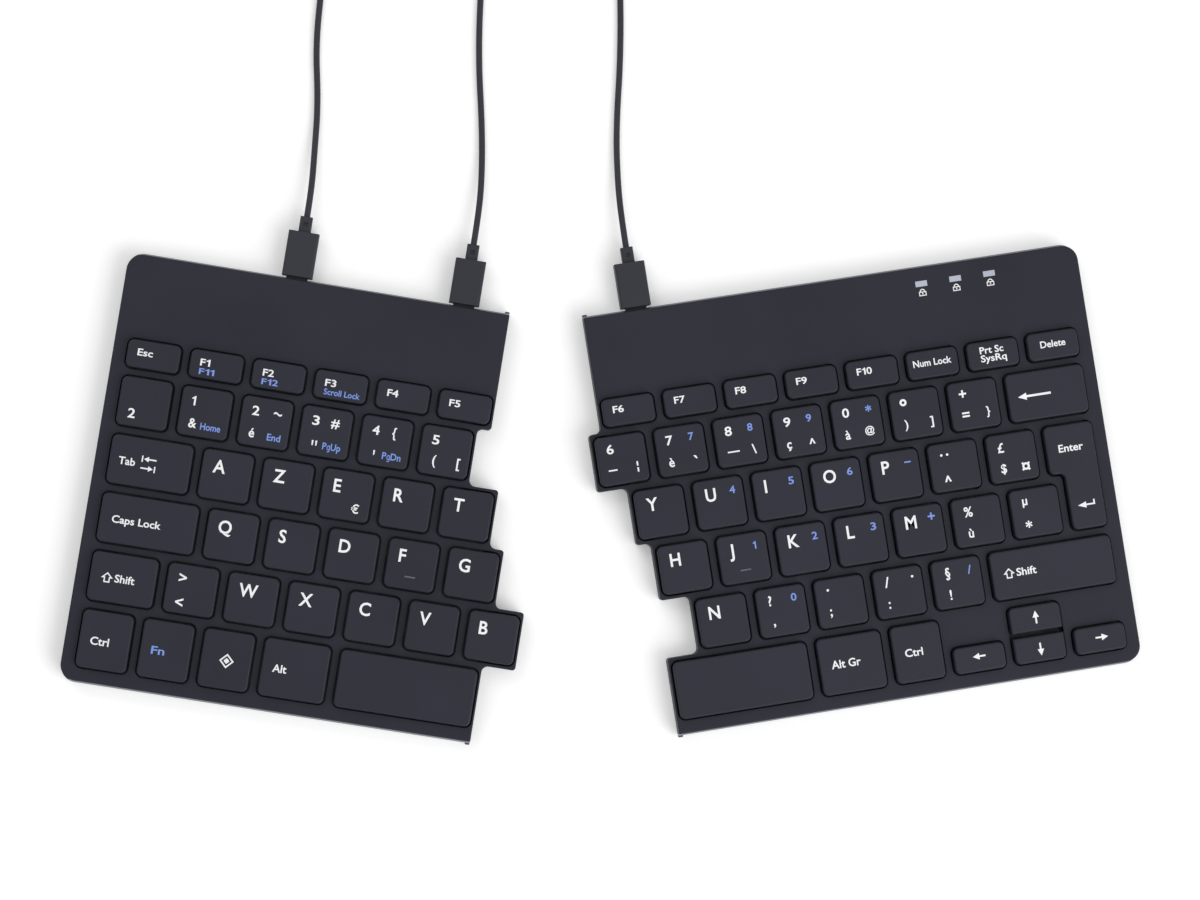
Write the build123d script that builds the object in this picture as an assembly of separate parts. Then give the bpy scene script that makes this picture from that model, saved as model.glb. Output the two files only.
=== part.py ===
from build123d import *
import math
import os

# Lengths are in millimetres and angles in degrees. +Z is up and the desk is at zero.
# In a half's own drawing, x runs inwards from its outer side edge and y runs forwards
# from its back edge, and both are then turned onto the desk.

# How the two halves lie on the desk
half_turn = 9.0
back_corner_gap = 23.2
right_set_back = 0.8

# Key grid, seen from above
key_pitch = 19.0
key_gap = 3.2
row_pitch = 18.43
row_gap = 3.0
function_pitch = 19.7
function_gap = 3.15
function_cap_depth = 8.8
function_row_gap = 2.9
back_strip = 27.3
bottom_cap_depth = 18.1
outer_margin = 4.7
inner_margin = 1.15
front_margin = 5.2

# Caps that are wider or narrower than a letter cap
tab_width = 25.4
caps_lock_width = 30.1
left_shift_width = 20.5
alt_width = 20.7
left_space_width = 43.2
backspace_width = 25.5
enter_back_width = 15.9
enter_front_width = 11.2
right_shift_width = 39.7
right_space_width = 42.9
arrow_pair_gap = 1.5

# Heights, from the desk up
foot_stand = 0.8
floor_wall = 1.2
board_thickness = 1.0
membrane_thickness = 0.3
dome_height = 3.7
face_height = 7.6
face_wall = 1.6
cap_rise = 2.2
key_travel = 2.0
skirt_room = 1.1

# Casing
case_wall = 0.85
end_lip = 0.6
outer_round = 5.0
end_round = 0.3
step_round = 1.0
step_fillet = 2.0
face_edge_round = 0.5
floor_edge_round = 0.6
fit_gap = 0.3
nub_width = 1.5
nub_reach = 0.6
nub_height = 2.4

# Keycaps
cap_top_wall = 1.2
cap_wall = 1.0
cap_round = 1.8
cap_edge_round = 0.6
cap_clearance = 0.6
stem_radius = 1.3
homing_bar_length = 3.5
homing_bar_width = 0.5
homing_bar_height = 0.2
homing_bar_inset = 4.0

# Rubber domes and scissor links
dome_base_radius = 2.0
dome_top_radius = 1.2
link_length = 10.0
link_thickness = 0.8
link_arm = 0.5
link_width = 10.0
narrow_link_width = 6.0
link_play = 0.2
link_pin_radius = 0.3
balance_wire_radius = 0.4
balance_bend_radius = 1.2
balance_least_cap = 24.0
balance_inset = 2.5

# Screws and the feet they sit between
screw_radius = 0.7
screw_head_radius = 1.2
screw_head_height = 0.6
screw_cross = 0.3
boss_radius = 1.3
thread_gap = 0.05
head_gap = 0.15
boss_back_inset = 5.0
boss_side_inset = 7.0
boss_front_inset = 2.9
foot_radius = 5.0
foot_thickness = 1.3
foot_inset = 12.5
foot_edge_round = 0.3

# Circuit boards
board_back_inset = 2.4
board_front = 24.6
board_side_inset = 2.4
plate_back = 26.0
ribbon_width = 14.0
ribbon_end = 18.6
ribbon_socket_depth = 3.2
ribbon_socket_height = 1.8
chip_side = 8.0
chip_height = 1.0
chip_from_ribbon = 20.0
boss_clear = 0.5

# Cable sockets, small plugs and the port openings
socket_width = 7.5
socket_height = 2.6
socket_depth = 5.6
socket_wall = 0.25
socket_inset = 0.5
tongue_width = 4.0
tongue_height = 0.5
tongue_length = 4.2
port_gap = 0.3
tip_width = 6.8
tip_height = 1.9
tip_wall = 0.3
tip_reach = 4.2
grip_stand_off = 0.6
grip_width = 9.7
grip_length = 14.2
grip_height = 5.6
grip_round = 0.8
boot_width = 3.9
boot_height = 3.4
boot_length = 5.0
boot_round = 0.6
dimple_width = 1.3
dimple_depth = 0.5
host_port_x = 52.85
left_link_port_x = 106.15
right_link_port_from_end = 17.2

# Status windows on the right half
window_width = 3.8
window_depth = 1.8
window_flange = 0.5
window_fit = 0.05
window_row_y = 5.9
first_window_x = 29.4
window_pitch = 11.1
led_width = 1.6
led_depth = 0.8
led_height = 0.6

# Computer plug at the far end of the host cable
usb_shell_width = 12.0
usb_shell_height = 4.5
usb_shell_length = 12.0
usb_shell_wall = 0.3
usb_tongue_height = 1.8
usb_grip_width = 15.4
usb_grip_height = 7.8
usb_grip_length = 21.0
usb_grip_round = 1.6
usb_boot_width = 5.0
usb_boot_length = 8.0

# Cords
cord_diameter = 2.0
cord_bend_share = 0.45
desk_gap = 0.05
coil_turn_pitch = 2.85
coil_layer_pitch = 2.5
coil_outer_radius = 18.0
coil_layers = 4
coil_half_turns_per_layer = [8, 8, 8, 9]
coil_run = 9.5

# Shares: of the bar's width that rounds its ends, of a half's width to its ribbon, and
# of a step's width that its two roundings may take
bar_end_share = 0.45
ribbon_share = 0.3
step_round_share = 0.3
step_fillet_share = 0.6

overrun = 1.0

# Routes of the cords on the desk. Each is a list of x, y and height, and x and y count
# from the end of the small plug that the cord leaves. The last list starts at the coil.
exit_run = 9.0
host_route = [(2.2, 20.5, 2.2), (3.3, 37.0, 1.05), (2.4, 56.0, 1.05), (4.6, 77.0, 1.05)]
host_coil_start = (3.8, 102.0)
link_left_route = [(2.6, 20.0, 2.2), (2.8, 37.0, 1.05), (1.4, 62.0, 1.05), (2.6, 90.0, 1.05)]
link_left_route += [(6.0, 112.0, 1.05)]
link_right_route = [(-2.5, 20.5, 2.2), (-3.0, 38.0, 1.05), (-1.4, 64.0, 1.05), (-1.8, 92.0, 1.05)]
link_right_route += [(-5.6, 114.0, 1.05)]
link_loop_top = [(-9.2, 130.0, 1.05), (9.4, 130.6, 1.05)]
coil_tail = [(-3.0, 19.5, 7.2), (-10.5, 28.5, 5.2), (-21.0, 32.5, 3.9)]
computer_plug_end = (-31.0, 34.0, 3.9)

# Sizes worked out from those above
letter_cap_width = key_pitch - key_gap
letter_cap_depth = row_pitch - row_gap
function_cap_width = function_pitch - function_gap
arrow_width = function_cap_width
arrow_cap_depth = (bottom_cap_depth - arrow_pair_gap) / 2
number_row = back_strip + function_cap_depth + function_row_gap
row_backs = [back_strip] + [number_row + i * row_pitch for i in range(5)]
row_depths = [function_cap_depth] + [letter_cap_depth] * 4 + [bottom_cap_depth]
half_depth = row_backs[5] + bottom_cap_depth + front_margin
step_places = [row_backs[1] - function_row_gap / 2]
step_places += [row_backs[i] - row_gap / 2 for i in range(2, 6)]
floor_top = foot_stand + floor_wall
board_top = floor_top + board_thickness
membrane_top = board_top + membrane_thickness
stem_bottom = membrane_top + dome_height
face_underside = face_height - face_wall
cap_top = face_height + cap_rise
cap_skirt = membrane_top + skirt_room + key_travel
cap_height = cap_top - cap_skirt
cap_ceiling = cap_top - cap_top_wall
port_height = board_top + socket_height / 2
cord_radius = cord_diameter / 2
lying_height = cord_radius + desk_gap
socket_opening = (socket_width + 2 * port_gap, socket_height + 2 * port_gap)


class Key:
    """One cap: its node, and its rectangle in the half's own drawing."""

    def __init__(self, node, x, y, width, depth, kind="plain"):
        self.node = node
        self.x = x
        self.y = y
        self.width = width
        self.depth = depth
        self.kind = kind

    def centre(self):
        return (self.x + self.width / 2, self.y + self.depth / 2)


def key_row(row, caps, gap, start=outer_margin):
    """Keys of one row, from the outer side inwards, from (node, width) pairs."""
    keys = []
    x = start
    for node, width in caps:
        keys.append(Key(node, x, row_backs[row], width, row_depths[row]))
        x += width + gap
    return keys


def left_keys():
    letter = letter_cap_width
    rows = [key_row(0, [("left_function_keys", function_cap_width)] * 6, function_gap)]
    rows.append(key_row(1, [("left_number_keys", letter)] * 6, key_gap))
    upper = [("left_tab_key", tab_width)] + [("left_upper_letter_keys", letter)] * 5
    rows.append(key_row(2, upper, key_gap))
    home = [("left_caps_lock_key", caps_lock_width)] + [("left_home_letter_keys", letter)] * 5
    rows.append(key_row(3, home, key_gap))
    lower = [("left_shift_key", left_shift_width)] + [("left_lower_letter_keys", letter)] * 6
    rows.append(key_row(4, lower, key_gap))
    bottom = [("left_ctrl_key", letter), ("left_fn_key", letter), ("left_meta_key", letter)]
    bottom += [("left_alt_key", alt_width), ("left_space_key", left_space_width)]
    rows.append(key_row(5, bottom, key_gap))
    rows[3][-2].kind = "homing"
    return rows


def arrow_keys():
    """Half-deep arrow keys: right, the stacked pair and left, from the outer side."""
    start = outer_margin
    step = arrow_width + function_gap
    back = row_backs[5]
    front = back + bottom_cap_depth - arrow_cap_depth
    size = (arrow_width, arrow_cap_depth)
    return [
        Key("right_arrow_right_key", start, front, *size),
        Key("right_arrow_up_key", start + step, back, *size, kind="pair back"),
        Key("right_arrow_down_key", start + step, front, *size, kind="pair front"),
        Key("right_arrow_left_key", start + 2 * step, front, *size),
    ]


def right_keys():
    letter = letter_cap_width
    rows = [key_row(0, [("right_function_keys", function_cap_width)] * 8, function_gap)]
    number = [("right_backspace_key", backspace_width)] + [("right_number_keys", letter)] * 7
    rows.append(key_row(1, number, key_gap))
    enter_depth = row_pitch + letter_cap_depth
    enter = Key("right_enter_key", outer_margin, row_backs[2], enter_back_width, enter_depth, "enter")
    beside_back = outer_margin + enter_back_width + key_gap
    upper = key_row(2, [("right_upper_letter_keys", letter)] * 7, key_gap, beside_back)
    rows.append([enter] + upper)
    beside_front = outer_margin + enter_front_width + key_gap
    rows.append(key_row(3, [("right_home_letter_keys", letter)] * 7, key_gap, beside_front))
    lower = [("right_shift_key", right_shift_width)] + [("right_lower_letter_keys", letter)] * 5
    rows.append(key_row(4, lower, key_gap))
    arrows = arrow_keys()
    beside_arrows = arrows[-1].x + arrow_width + key_gap
    bottom = [("right_ctrl_key", letter), ("right_alt_gr_key", alt_width)]
    bottom += [("right_space_key", right_space_width)]
    rows.append(arrows + key_row(5, bottom, key_gap, beside_arrows))
    rows[3][-2].kind = "homing"
    return rows


class Half:
    """One half: its side of the desk (1 left, -1 right), its keys, ports and outline."""

    def __init__(self, name, side, rows):
        self.name = name
        self.side = side
        self.rows = rows
        self.keys = [key for row in rows for key in row]
        self.ends = [row[-1].x + row[-1].width + inner_margin for row in rows]
        if side > 0:
            self.ports = [host_port_x, left_link_port_x]
        else:
            self.ports = [self.ends[0] - right_link_port_from_end]

    def at(self, x, y, z=0):
        """A place in the half's own drawing as a location before the half is turned."""
        return Pos(self.side * x, -y, z)

    def flat(self, points):
        """A flat face from corners in the half's own drawing."""
        return make_face(Polyline(*[(self.side * x, -y) for x, y in points], close=True))

    def rounded(self, face, points, radius):
        """Rounds those corners of a face that lie at the given places."""
        corners = [face.vertices().sort_by_distance((self.side * x, -y))[0] for x, y in points]
        return fillet(corners, radius)

    def corners(self, side_inset, end_inset):
        """Corners of the stepped outline, and those of its steps with their roundings."""
        points = [(side_inset, end_inset), (self.ends[0] - side_inset, end_inset)]
        roundings = []
        for end, following, place in zip(self.ends, self.ends[1:], step_places):
            wider = following > end
            y = place + side_inset if wider else place - side_inset
            pair = [(end - side_inset, y), (following - side_inset, y)]
            points += pair
            entering, standing = pair if wider else reversed(pair)
            step = abs(following - end)
            roundings.append((standing, min(step_round, step * step_round_share)))
            roundings.append((entering, min(step_fillet, step * step_fillet_share)))
        front = half_depth - end_inset
        points += [(self.ends[-1] - side_inset, front), (side_inset, front)]
        return points, roundings

    def outline(self, end_inset=0):
        """The outer outline of a cover, with its corners rounded."""
        points, roundings = self.corners(0, end_inset)
        face = self.flat(points)
        face = self.rounded(face, [points[0], points[-1]], outer_round)
        face = self.rounded(face, [points[1], points[-2]], end_round)
        for corner, radius in roundings:
            face = self.rounded(face, [corner], radius)
        return face

    def inside(self, inset, back=None):
        """The flat space inside the walls, drawn in by inset, from back forwards."""
        points = self.corners(inset, end_lip + inset)[0]
        face = self.flat(points)
        if back is None:
            return self.rounded(face, [points[0], points[-1]], outer_round - case_wall)
        face = self.rounded(face, [points[-1]], outer_round - case_wall)
        width = 2 * max(self.ends)
        strip = Rectangle(2 * width, 2 * back)
        return face - strip


def key_face(half, key, grow, radius):
    """A cap's outline in the half's drawing, grown all round, with rounded corners."""
    if key.kind == "enter":
        face = enter_face(half, key, grow, radius)
    else:
        width = key.width + 2 * grow
        depth = key.depth + 2 * grow
        face = Rectangle(width, depth)
        if radius > 0:
            corners = face.vertices()
            if key.kind == "pair back":
                corners = corners.sort_by(Axis.Y)[2:]
            if key.kind == "pair front":
                corners = corners.sort_by(Axis.Y)[:2]
            face = fillet(corners, radius)
        face = half.at(*key.centre()) * face
    return face


def enter_face(half, key, grow, radius):
    """The stepped outline of the enter key: wide at the back and narrow in front."""
    left, back = key.x - grow, key.y - grow
    wide = key.x + enter_back_width + grow
    narrow = key.x + enter_front_width + grow
    step = key.y + letter_cap_depth + grow
    front = key.y + key.depth + grow
    points = [(left, back), (wide, back), (wide, step), (narrow, step), (narrow, front), (left, front)]
    face = half.flat(points)
    if radius > 0:
        inner = points.pop(3)
        face = half.rounded(face, points, radius)
        face = half.rounded(face, [inner], radius - 2 * grow)
    return face


def plunger_place(key):
    """Where the dome and stem stand: under the middle of the cap's full-depth part."""
    x, y = key.centre()
    if key.kind == "enter":
        x = key.x + enter_front_width / 2
    return x, y


def keycap(half, key):
    """A hollow cap with a soft top edge and the stem that presses the dome."""
    body = extrude(key_face(half, key, 0, cap_round), cap_height)
    body = fillet(body.faces().sort_by(Axis.Z)[-1].edges(), cap_edge_round)
    hollow = extrude(key_face(half, key, -cap_wall, 0), cap_height - cap_top_wall)
    body = Pos(0, 0, cap_skirt) * (body - hollow)
    stem_length = cap_ceiling - stem_bottom
    stem = Cylinder(stem_radius, stem_length, align=(Align.CENTER, Align.CENTER, Align.MIN))
    body += half.at(*plunger_place(key), stem_bottom) * stem
    if key.kind == "homing":
        bar = Box(homing_bar_length, homing_bar_width, 2 * homing_bar_height)
        bar = fillet(bar.edges().filter_by(Axis.Z), homing_bar_width * bar_end_share)
        front = key.y + key.depth - homing_bar_inset
        body += half.at(key.centre()[0], front, cap_top) * bar
    return body


def openings(half):
    """Prisms that cut the key openings through the face, one for the stacked arrows."""
    cuts = []
    for key in half.keys:
        grown = key
        if key.kind == "pair front":
            continue
        if key.kind == "pair back":
            grown = Key(key.node, key.x, key.y, key.width, bottom_cap_depth)
        face = key_face(half, grown, cap_clearance, cap_round + cap_clearance)
        cuts.append(Pos(0, 0, face_underside - overrun) * extrude(face, face_wall + 2 * overrun))
    return cuts


def boss_places(half):
    """Screw places: three along the back strip and three along the front margin."""
    back_end = half.ends[0] - boss_back_inset
    middle = sum(half.ports) / len(half.ports) if half.side > 0 else half.ends[0] / 2
    places = [(boss_side_inset, boss_back_inset), (middle, boss_back_inset)]
    places.append((back_end, boss_back_inset))
    front = half_depth - boss_front_inset
    front_end = half.ends[-1] - boss_side_inset
    places += [(boss_side_inset, front), ((boss_side_inset + front_end) / 2, front)]
    places.append((front_end, front))
    return places


def foot_places(half):
    """Four feet, near the corners of the half."""
    back_end = half.ends[0] - foot_inset
    front = half_depth - foot_inset
    front_end = half.ends[-1] - foot_inset
    return [(foot_inset, foot_inset), (back_end, foot_inset), (foot_inset, front), (front_end, front)]


def port_cuts(half):
    """Boxes that open the back wall at each port, across the seam of the covers."""
    width, height = socket_opening
    reach = end_lip + case_wall + port_gap
    block = Box(width, reach + overrun, height)
    middle = (reach - overrun) / 2
    return [half.at(x, middle, port_height) * block for x in half.ports]


def corner_nubs(half):
    """Small nubs on the floor shell at the inner ends of its back and front edges."""
    nub = Box(nub_width, 2 * nub_reach, nub_height)
    nub = fillet(nub.edges().filter_by(Axis.Z), nub_reach / 2)
    level = foot_stand + floor_edge_round + nub_height / 2
    back = half.at(half.ends[0] - nub_width / 2, 0, level) * nub
    front = half.at(half.ends[-1] - nub_width / 2, half_depth, level) * nub
    return [back, front]


def upright(radius, bottom, top):
    """An upright round post between two heights."""
    post = Cylinder(radius, top - bottom, align=(Align.CENTER, Align.CENTER, Align.MIN))
    return Pos(0, 0, bottom) * post


def top_cover(half):
    """The face with its key openings, its side walls and the screw bosses under it."""
    shell = extrude(half.outline(end_lip), face_height - port_height)
    shell = fillet(shell.faces().sort_by(Axis.Z)[-1].edges(), face_edge_round)
    shell = Pos(0, 0, port_height) * shell
    hollow = extrude(half.inside(case_wall), face_underside - port_height + overrun)
    shell -= Pos(0, 0, port_height - overrun) * hollow
    boss = upright(boss_radius, floor_top, face_underside)
    shell += [half.at(x, y) * boss for x, y in boss_places(half)]
    cuts = openings(half) + port_cuts(half)
    pilot = upright(screw_radius + thread_gap, floor_top - overrun, face_underside)
    cuts += [half.at(x, y) * pilot for x, y in boss_places(half)]
    if half.side < 0:
        window = Box(window_width + 2 * window_fit, window_depth + 2 * window_fit, 2 * face_wall + overrun)
        cuts += [half.at(x, window_row_y, face_height) * window for x in window_places()]
    return shell - cuts


def bottom_cover(half):
    """The floor with its walls, lipped back and front edges, nubs and foot recesses."""
    shell = extrude(half.outline(), port_height - foot_stand)
    shell = fillet(shell.faces().sort_by(Axis.Z)[0].edges(), floor_edge_round)
    shell = Pos(0, 0, foot_stand) * shell
    shell += corner_nubs(half)
    hollow = extrude(half.inside(case_wall), port_height - floor_top + overrun)
    cuts = [Pos(0, 0, floor_top) * hollow] + port_cuts(half)
    shank = upright(screw_radius + head_gap, foot_stand - overrun, floor_top + overrun)
    sink = upright(screw_head_radius + head_gap, foot_stand - overrun, foot_stand + screw_head_height)
    for x, y in boss_places(half):
        cuts += [half.at(x, y) * shank, half.at(x, y) * sink]
    recess = upright(foot_radius, foot_stand - overrun, foot_thickness)
    cuts += [half.at(x, y) * recess for x, y in foot_places(half)]
    return shell - cuts


def boss_holes(half, bottom, top):
    """Clearance holes round the bosses, for what lies on the floor."""
    hole = upright(boss_radius + boss_clear, bottom - overrun, top + overrun)
    return [half.at(x, y) * hole for x, y in boss_places(half)]


def support_plate(half):
    """The stiff metal plate under the keys."""
    sheet = Pos(0, 0, floor_top) * extrude(half.inside(case_wall + fit_gap, plate_back), board_thickness)
    return sheet - boss_holes(half, floor_top, board_top)


def ribbon_x(half):
    """Where the switch sheet's ribbon runs back onto the board."""
    return half.ends[0] * ribbon_share


def switch_sheet(half):
    """The printed switch sheet on the plate, with its ribbon to the board."""
    sheet = extrude(half.inside(case_wall + 2 * fit_gap, plate_back), membrane_thickness)
    length = plate_back - ribbon_end
    ribbon = Box(ribbon_width, 2 * length, membrane_thickness, align=(Align.CENTER, Align.CENTER, Align.MIN))
    sheet += half.at(ribbon_x(half), plate_back) * ribbon
    sheet = Pos(0, 0, board_top) * sheet
    return sheet - boss_holes(half, board_top, membrane_top)


def circuit_board(half):
    """The board in the back strip with its chip, ribbon socket and status lights."""
    width = half.ends[0] - 2 * board_side_inset
    depth = board_front - board_back_inset
    low = (Align.CENTER, Align.CENTER, Align.MIN)
    centre = half.at(half.ends[0] / 2, board_back_inset + depth / 2, floor_top)
    board = centre * Box(width, depth, board_thickness, align=low)
    middle = board_back_inset + depth / 2
    chip_x = ribbon_x(half) + chip_from_ribbon
    board += half.at(chip_x, middle, board_top) * Box(chip_side, chip_side, chip_height, align=low)
    seat = ribbon_end - ribbon_socket_depth / 2
    block = Box(ribbon_width, ribbon_socket_depth, ribbon_socket_height, align=low)
    board += half.at(ribbon_x(half), seat, board_top) * block
    if half.side < 0:
        led = Box(led_width, led_depth, led_height, align=low)
        board += [half.at(x, window_row_y, board_top) * led for x in window_places()]
    return board - boss_holes(half, floor_top, board_top)


def window_places():
    return [first_window_x + i * window_pitch for i in range(3)]


def status_windows(half):
    """Three clear light guides, each with a flange under the face."""
    pane = Box(window_width, window_depth, face_wall, align=(Align.CENTER, Align.CENTER, Align.MIN))
    flange_width = window_width + 2 * window_flange
    flange = Box(flange_width, window_depth + 2 * window_flange, window_flange)
    guide = Pos(0, 0, face_underside) * pane
    guide += Pos(0, 0, face_underside - window_flange / 2) * flange
    return [half.at(x, window_row_y) * guide for x in window_places()]


def rubber_domes(half):
    """One rubber dome under each key's stem."""
    low = (Align.CENTER, Align.CENTER, Align.MIN)
    dome = Cone(dome_base_radius, dome_top_radius, dome_height, align=low)
    return [half.at(*plunger_place(key), membrane_top) * dome for key in half.keys]


def scissor_lever(width, slope):
    """One lever of a scissor pair: two arms and a bar across one end, tilted by slope."""
    lever = Box(link_length, width, link_thickness)
    window = Box(link_length, width - 2 * link_arm, link_thickness + overrun)
    lever -= Pos(link_arm, 0, 0) * window
    return Rot(0, slope, 0) * lever


def scissor_pair(width):
    """An outer and an inner lever, crossing at pins on the inner one."""
    rise = cap_ceiling - membrane_top - 2 * link_play
    slope = math.degrees(math.asin((rise - link_thickness) / link_length))
    outer = scissor_lever(width, slope)
    inner_width = width - 2 * link_arm - 2 * link_play
    inner = scissor_lever(inner_width, -slope)
    pin_length = link_play
    pin = Rot(90, 0, 0) * Cylinder(link_pin_radius, pin_length)
    reach = inner_width / 2 + pin_length / 2
    inner += [Pos(0, reach, 0) * pin, Pos(0, -reach, 0) * pin]
    return [outer, inner]


def scissor_links(half):
    """The scissor pair under each cap, and balance wires under the wide caps."""
    middle = (membrane_top + cap_ceiling) / 2
    pieces = []
    for key in half.keys:
        narrow = key.depth < letter_cap_depth or key.kind == "enter"
        turn = 90 if key.kind == "enter" else 0
        pair = scissor_pair(narrow_link_width if narrow else link_width)
        pieces += [half.at(*plunger_place(key), middle) * Rot(0, 0, turn) * lever for lever in pair]
        if key.width > balance_least_cap:
            pieces.append(half.at(*key.centre(), middle) * balance_wire(key))
    return pieces


def balance_wire(key):
    """A bent wire along the back of a wide cap, its ends reaching down to the plate."""
    x = key.width / 2 - balance_inset
    y = letter_cap_depth / 2 - cap_wall - balance_wire_radius - link_play
    z = (cap_ceiling - membrane_top) / 2 - balance_wire_radius - link_play
    route = FilletPolyline((-x, -y, -z), (-x, y, z), (x, y, z), (x, -y, -z), radius=balance_bend_radius)
    section = Plane(origin=route @ 0, z_dir=route % 0) * Circle(balance_wire_radius)
    return sweep(section, path=route)


def port_place(half, x):
    """A frame at a port: origin on the half's back edge, +Y out along the plug."""
    return half.at(x, 0, port_height)


def sockets(half):
    """A socket for each cable, on the board behind the back wall."""
    low = (Align.CENTER, Align.MAX, Align.CENTER)
    shell = Box(socket_width, socket_depth, socket_height, align=low)
    bore_width = socket_width - 2 * socket_wall
    shell -= Box(bore_width, socket_depth - socket_wall, socket_height - 2 * socket_wall, align=low)
    tongue = Box(tongue_width, tongue_length, tongue_height, align=(Align.CENTER, Align.MIN, Align.CENTER))
    shell += Pos(0, socket_wall - socket_depth, 0) * tongue
    return [port_place(half, x) * Pos(0, -socket_inset, 0) * shell for x in half.ports]


def plug_tip():
    """The flat metal tube of a small plug, reaching from its grip into the socket."""
    inwards = (Align.CENTER, Align.MAX, Align.CENTER)
    length = grip_stand_off + socket_inset + tip_reach
    tube = Box(tip_width, length, tip_height, align=inwards)
    tube -= Box(tip_width - 2 * tip_wall, length + overrun, tip_height - 2 * tip_wall, align=inwards)
    return Pos(0, grip_stand_off, 0) * tube


def plug_grip():
    """The moulded grip and boot of a small plug, with the boot's dimple."""
    along = (Align.CENTER, Align.MIN, Align.CENTER)
    grip = Box(grip_width, grip_length, grip_height, align=along)
    grip = fillet(grip.edges().filter_by(Axis.Y), grip_round)
    boot = Box(boot_width, boot_length, boot_height, align=along)
    boot = fillet(boot.edges().filter_by(Axis.Y), boot_round)
    grip += Pos(0, grip_length, 0) * boot
    dimple = Box(dimple_width, dimple_width, 2 * dimple_depth)
    for level in (boot_height / 2, -boot_height / 2):
        grip -= Pos(0, grip_length + boot_length / 2, level) * dimple
    return Pos(0, grip_stand_off, 0) * grip


def screws(half):
    """Short countersunk screws that hold the floor shell to the bosses of the face."""
    top = face_underside - screw_radius
    screw = upright(screw_radius, foot_stand + screw_head_height, top)
    screw += upright(screw_head_radius, foot_stand, foot_stand + screw_head_height)
    slot = Box(2 * screw_radius, screw_cross, screw_head_height)
    screw -= [Pos(0, 0, foot_stand) * slot, Pos(0, 0, foot_stand) * Rot(0, 0, 90) * slot]
    return [half.at(x, y) * screw for x, y in boss_places(half)]


def feet(half):
    """Round rubber feet, seated in the floor's recesses and standing on the desk."""
    pad = upright(foot_radius - fit_gap, 0, foot_thickness)
    pad = fillet(pad.edges().sort_by(Axis.Z)[0], foot_edge_round)
    return [half.at(x, y) * pad for x, y in foot_places(half)]


def half_nodes(half):
    """Every node of one half, in the half's own drawing."""
    name = half.name
    nodes = {
        f"{name}_top_cover": [top_cover(half)],
        f"{name}_bottom_cover": [bottom_cover(half)],
        f"{name}_support_plate": [support_plate(half)],
        f"{name}_switch_sheet": [switch_sheet(half)],
        f"{name}_rubber_domes": rubber_domes(half),
        f"{name}_scissor_links": scissor_links(half),
        f"{name}_circuit_board": [circuit_board(half)],
        f"{name}_cable_sockets": sockets(half),
        f"{name}_screws": screws(half),
        f"{name}_rubber_feet": feet(half),
    }
    for key in half.keys:
        nodes.setdefault(key.node, []).append(keycap(half, key))
    grips = ["host_cable_small_plug", "link_cable_left_plug"] if half.side > 0 else ["link_cable_right_plug"]
    for grip, x in zip(grips, half.ports):
        nodes[grip] = [port_place(half, x) * plug_grip()]
        nodes[f"{grip}_tip"] = [port_place(half, x) * plug_tip()]
    if half.side < 0:
        nodes["right_status_windows"] = status_windows(half)
    return nodes


def turned_corner(half):
    """The half's outer back corner on the desk, before the whole is centred."""
    angle = math.radians(-half.side * half_turn)
    inner_x = -half.side * back_corner_gap / 2
    inner_y = 0 if half.side > 0 else -right_set_back
    width = half.side * half.ends[0]
    return inner_x - width * math.cos(angle), inner_y - width * math.sin(angle)


def placed(half):
    return Pos(*turned_corner(half)) * Rot(0, 0, -half.side * half_turn)


def cord_tube(points, name):
    """A round cord along straight runs joined by arcs as large as the runs allow."""
    runs = [(b - a).length for a, b in zip(points, points[1:])]
    radii = []
    for before, here, after, first, second in zip(points, points[1:], points[2:], runs, runs[1:]):
        half_bend = math.radians((here - before).get_angle(after - here)) / 2
        radii.append(cord_bend_share * min(first, second) / math.tan(half_bend))
    print(name, "radii", [round(r, 1) for r in radii], "runs", [round(r, 1) for r in runs])
    route = FilletPolyline(*points, radius=radii)
    section = Plane(origin=route @ 0, z_dir=route % 0) * Circle(cord_radius)
    tube = sweep(section, path=route)
    share = tube.volume / (section.area * route.length)
    print(name, "length", round(route.length, 1), "volume share", share)
    return tube


def coil_stations():
    """Half-turn stations of the coil: angle in half turns, radius and height, and way."""
    step = coil_turn_pitch / 2
    radius = coil_outer_radius
    height = lying_height
    stations = [(radius, height, -1)]
    inwards = -1
    for layer, count in enumerate(coil_half_turns_per_layer):
        for _ in range(count):
            radius += inwards * step
            stations.append((radius, height, inwards))
        if layer < coil_layers - 1:
            inwards = -inwards
            height += coil_layer_pitch
            stations.append((radius, height, inwards))
    return stations


def coil_arcs(centre):
    """The coil's line as pairs of arcs, a pair for each half turn, wound to the left."""
    stations = coil_stations()
    arcs = []
    points = []
    tangents = []
    for i, (radius, height, way) in enumerate(stations):
        angle = math.pi * i
        outwards = Vector(math.cos(angle), math.sin(angle), 0)
        onwards = Vector(-math.sin(angle), math.cos(angle), 0)
        drift = way * coil_turn_pitch / (2 * math.pi)
        points.append(centre + outwards * radius + Vector(0, 0, height))
        tangents.append((onwards * radius + outwards * drift).normalized())
    for start, end, leaving, arriving in zip(points, points[1:], tangents, tangents[1:]):
        middle = biarc_joint(start, end, leaving, arriving)
        arcs.append(TangentArc(start, middle, tangent=leaving))
        arcs.append(TangentArc(middle, end, tangent=arcs[-1] % 1))
    return arcs, points, tangents


def biarc_joint(start, end, leaving, arriving):
    """Where two arcs meet that leave start and arrive at end with the given ways."""
    chord = end - start
    both = leaving + arriving
    a = 2 * (1 - leaving.dot(arriving))
    b = 2 * chord.dot(both)
    c = -chord.dot(chord)
    reach = (-b + math.sqrt(b * b - 4 * a * c)) / (2 * a)
    return (start + leaving * reach + end - arriving * reach) / 2


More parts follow.
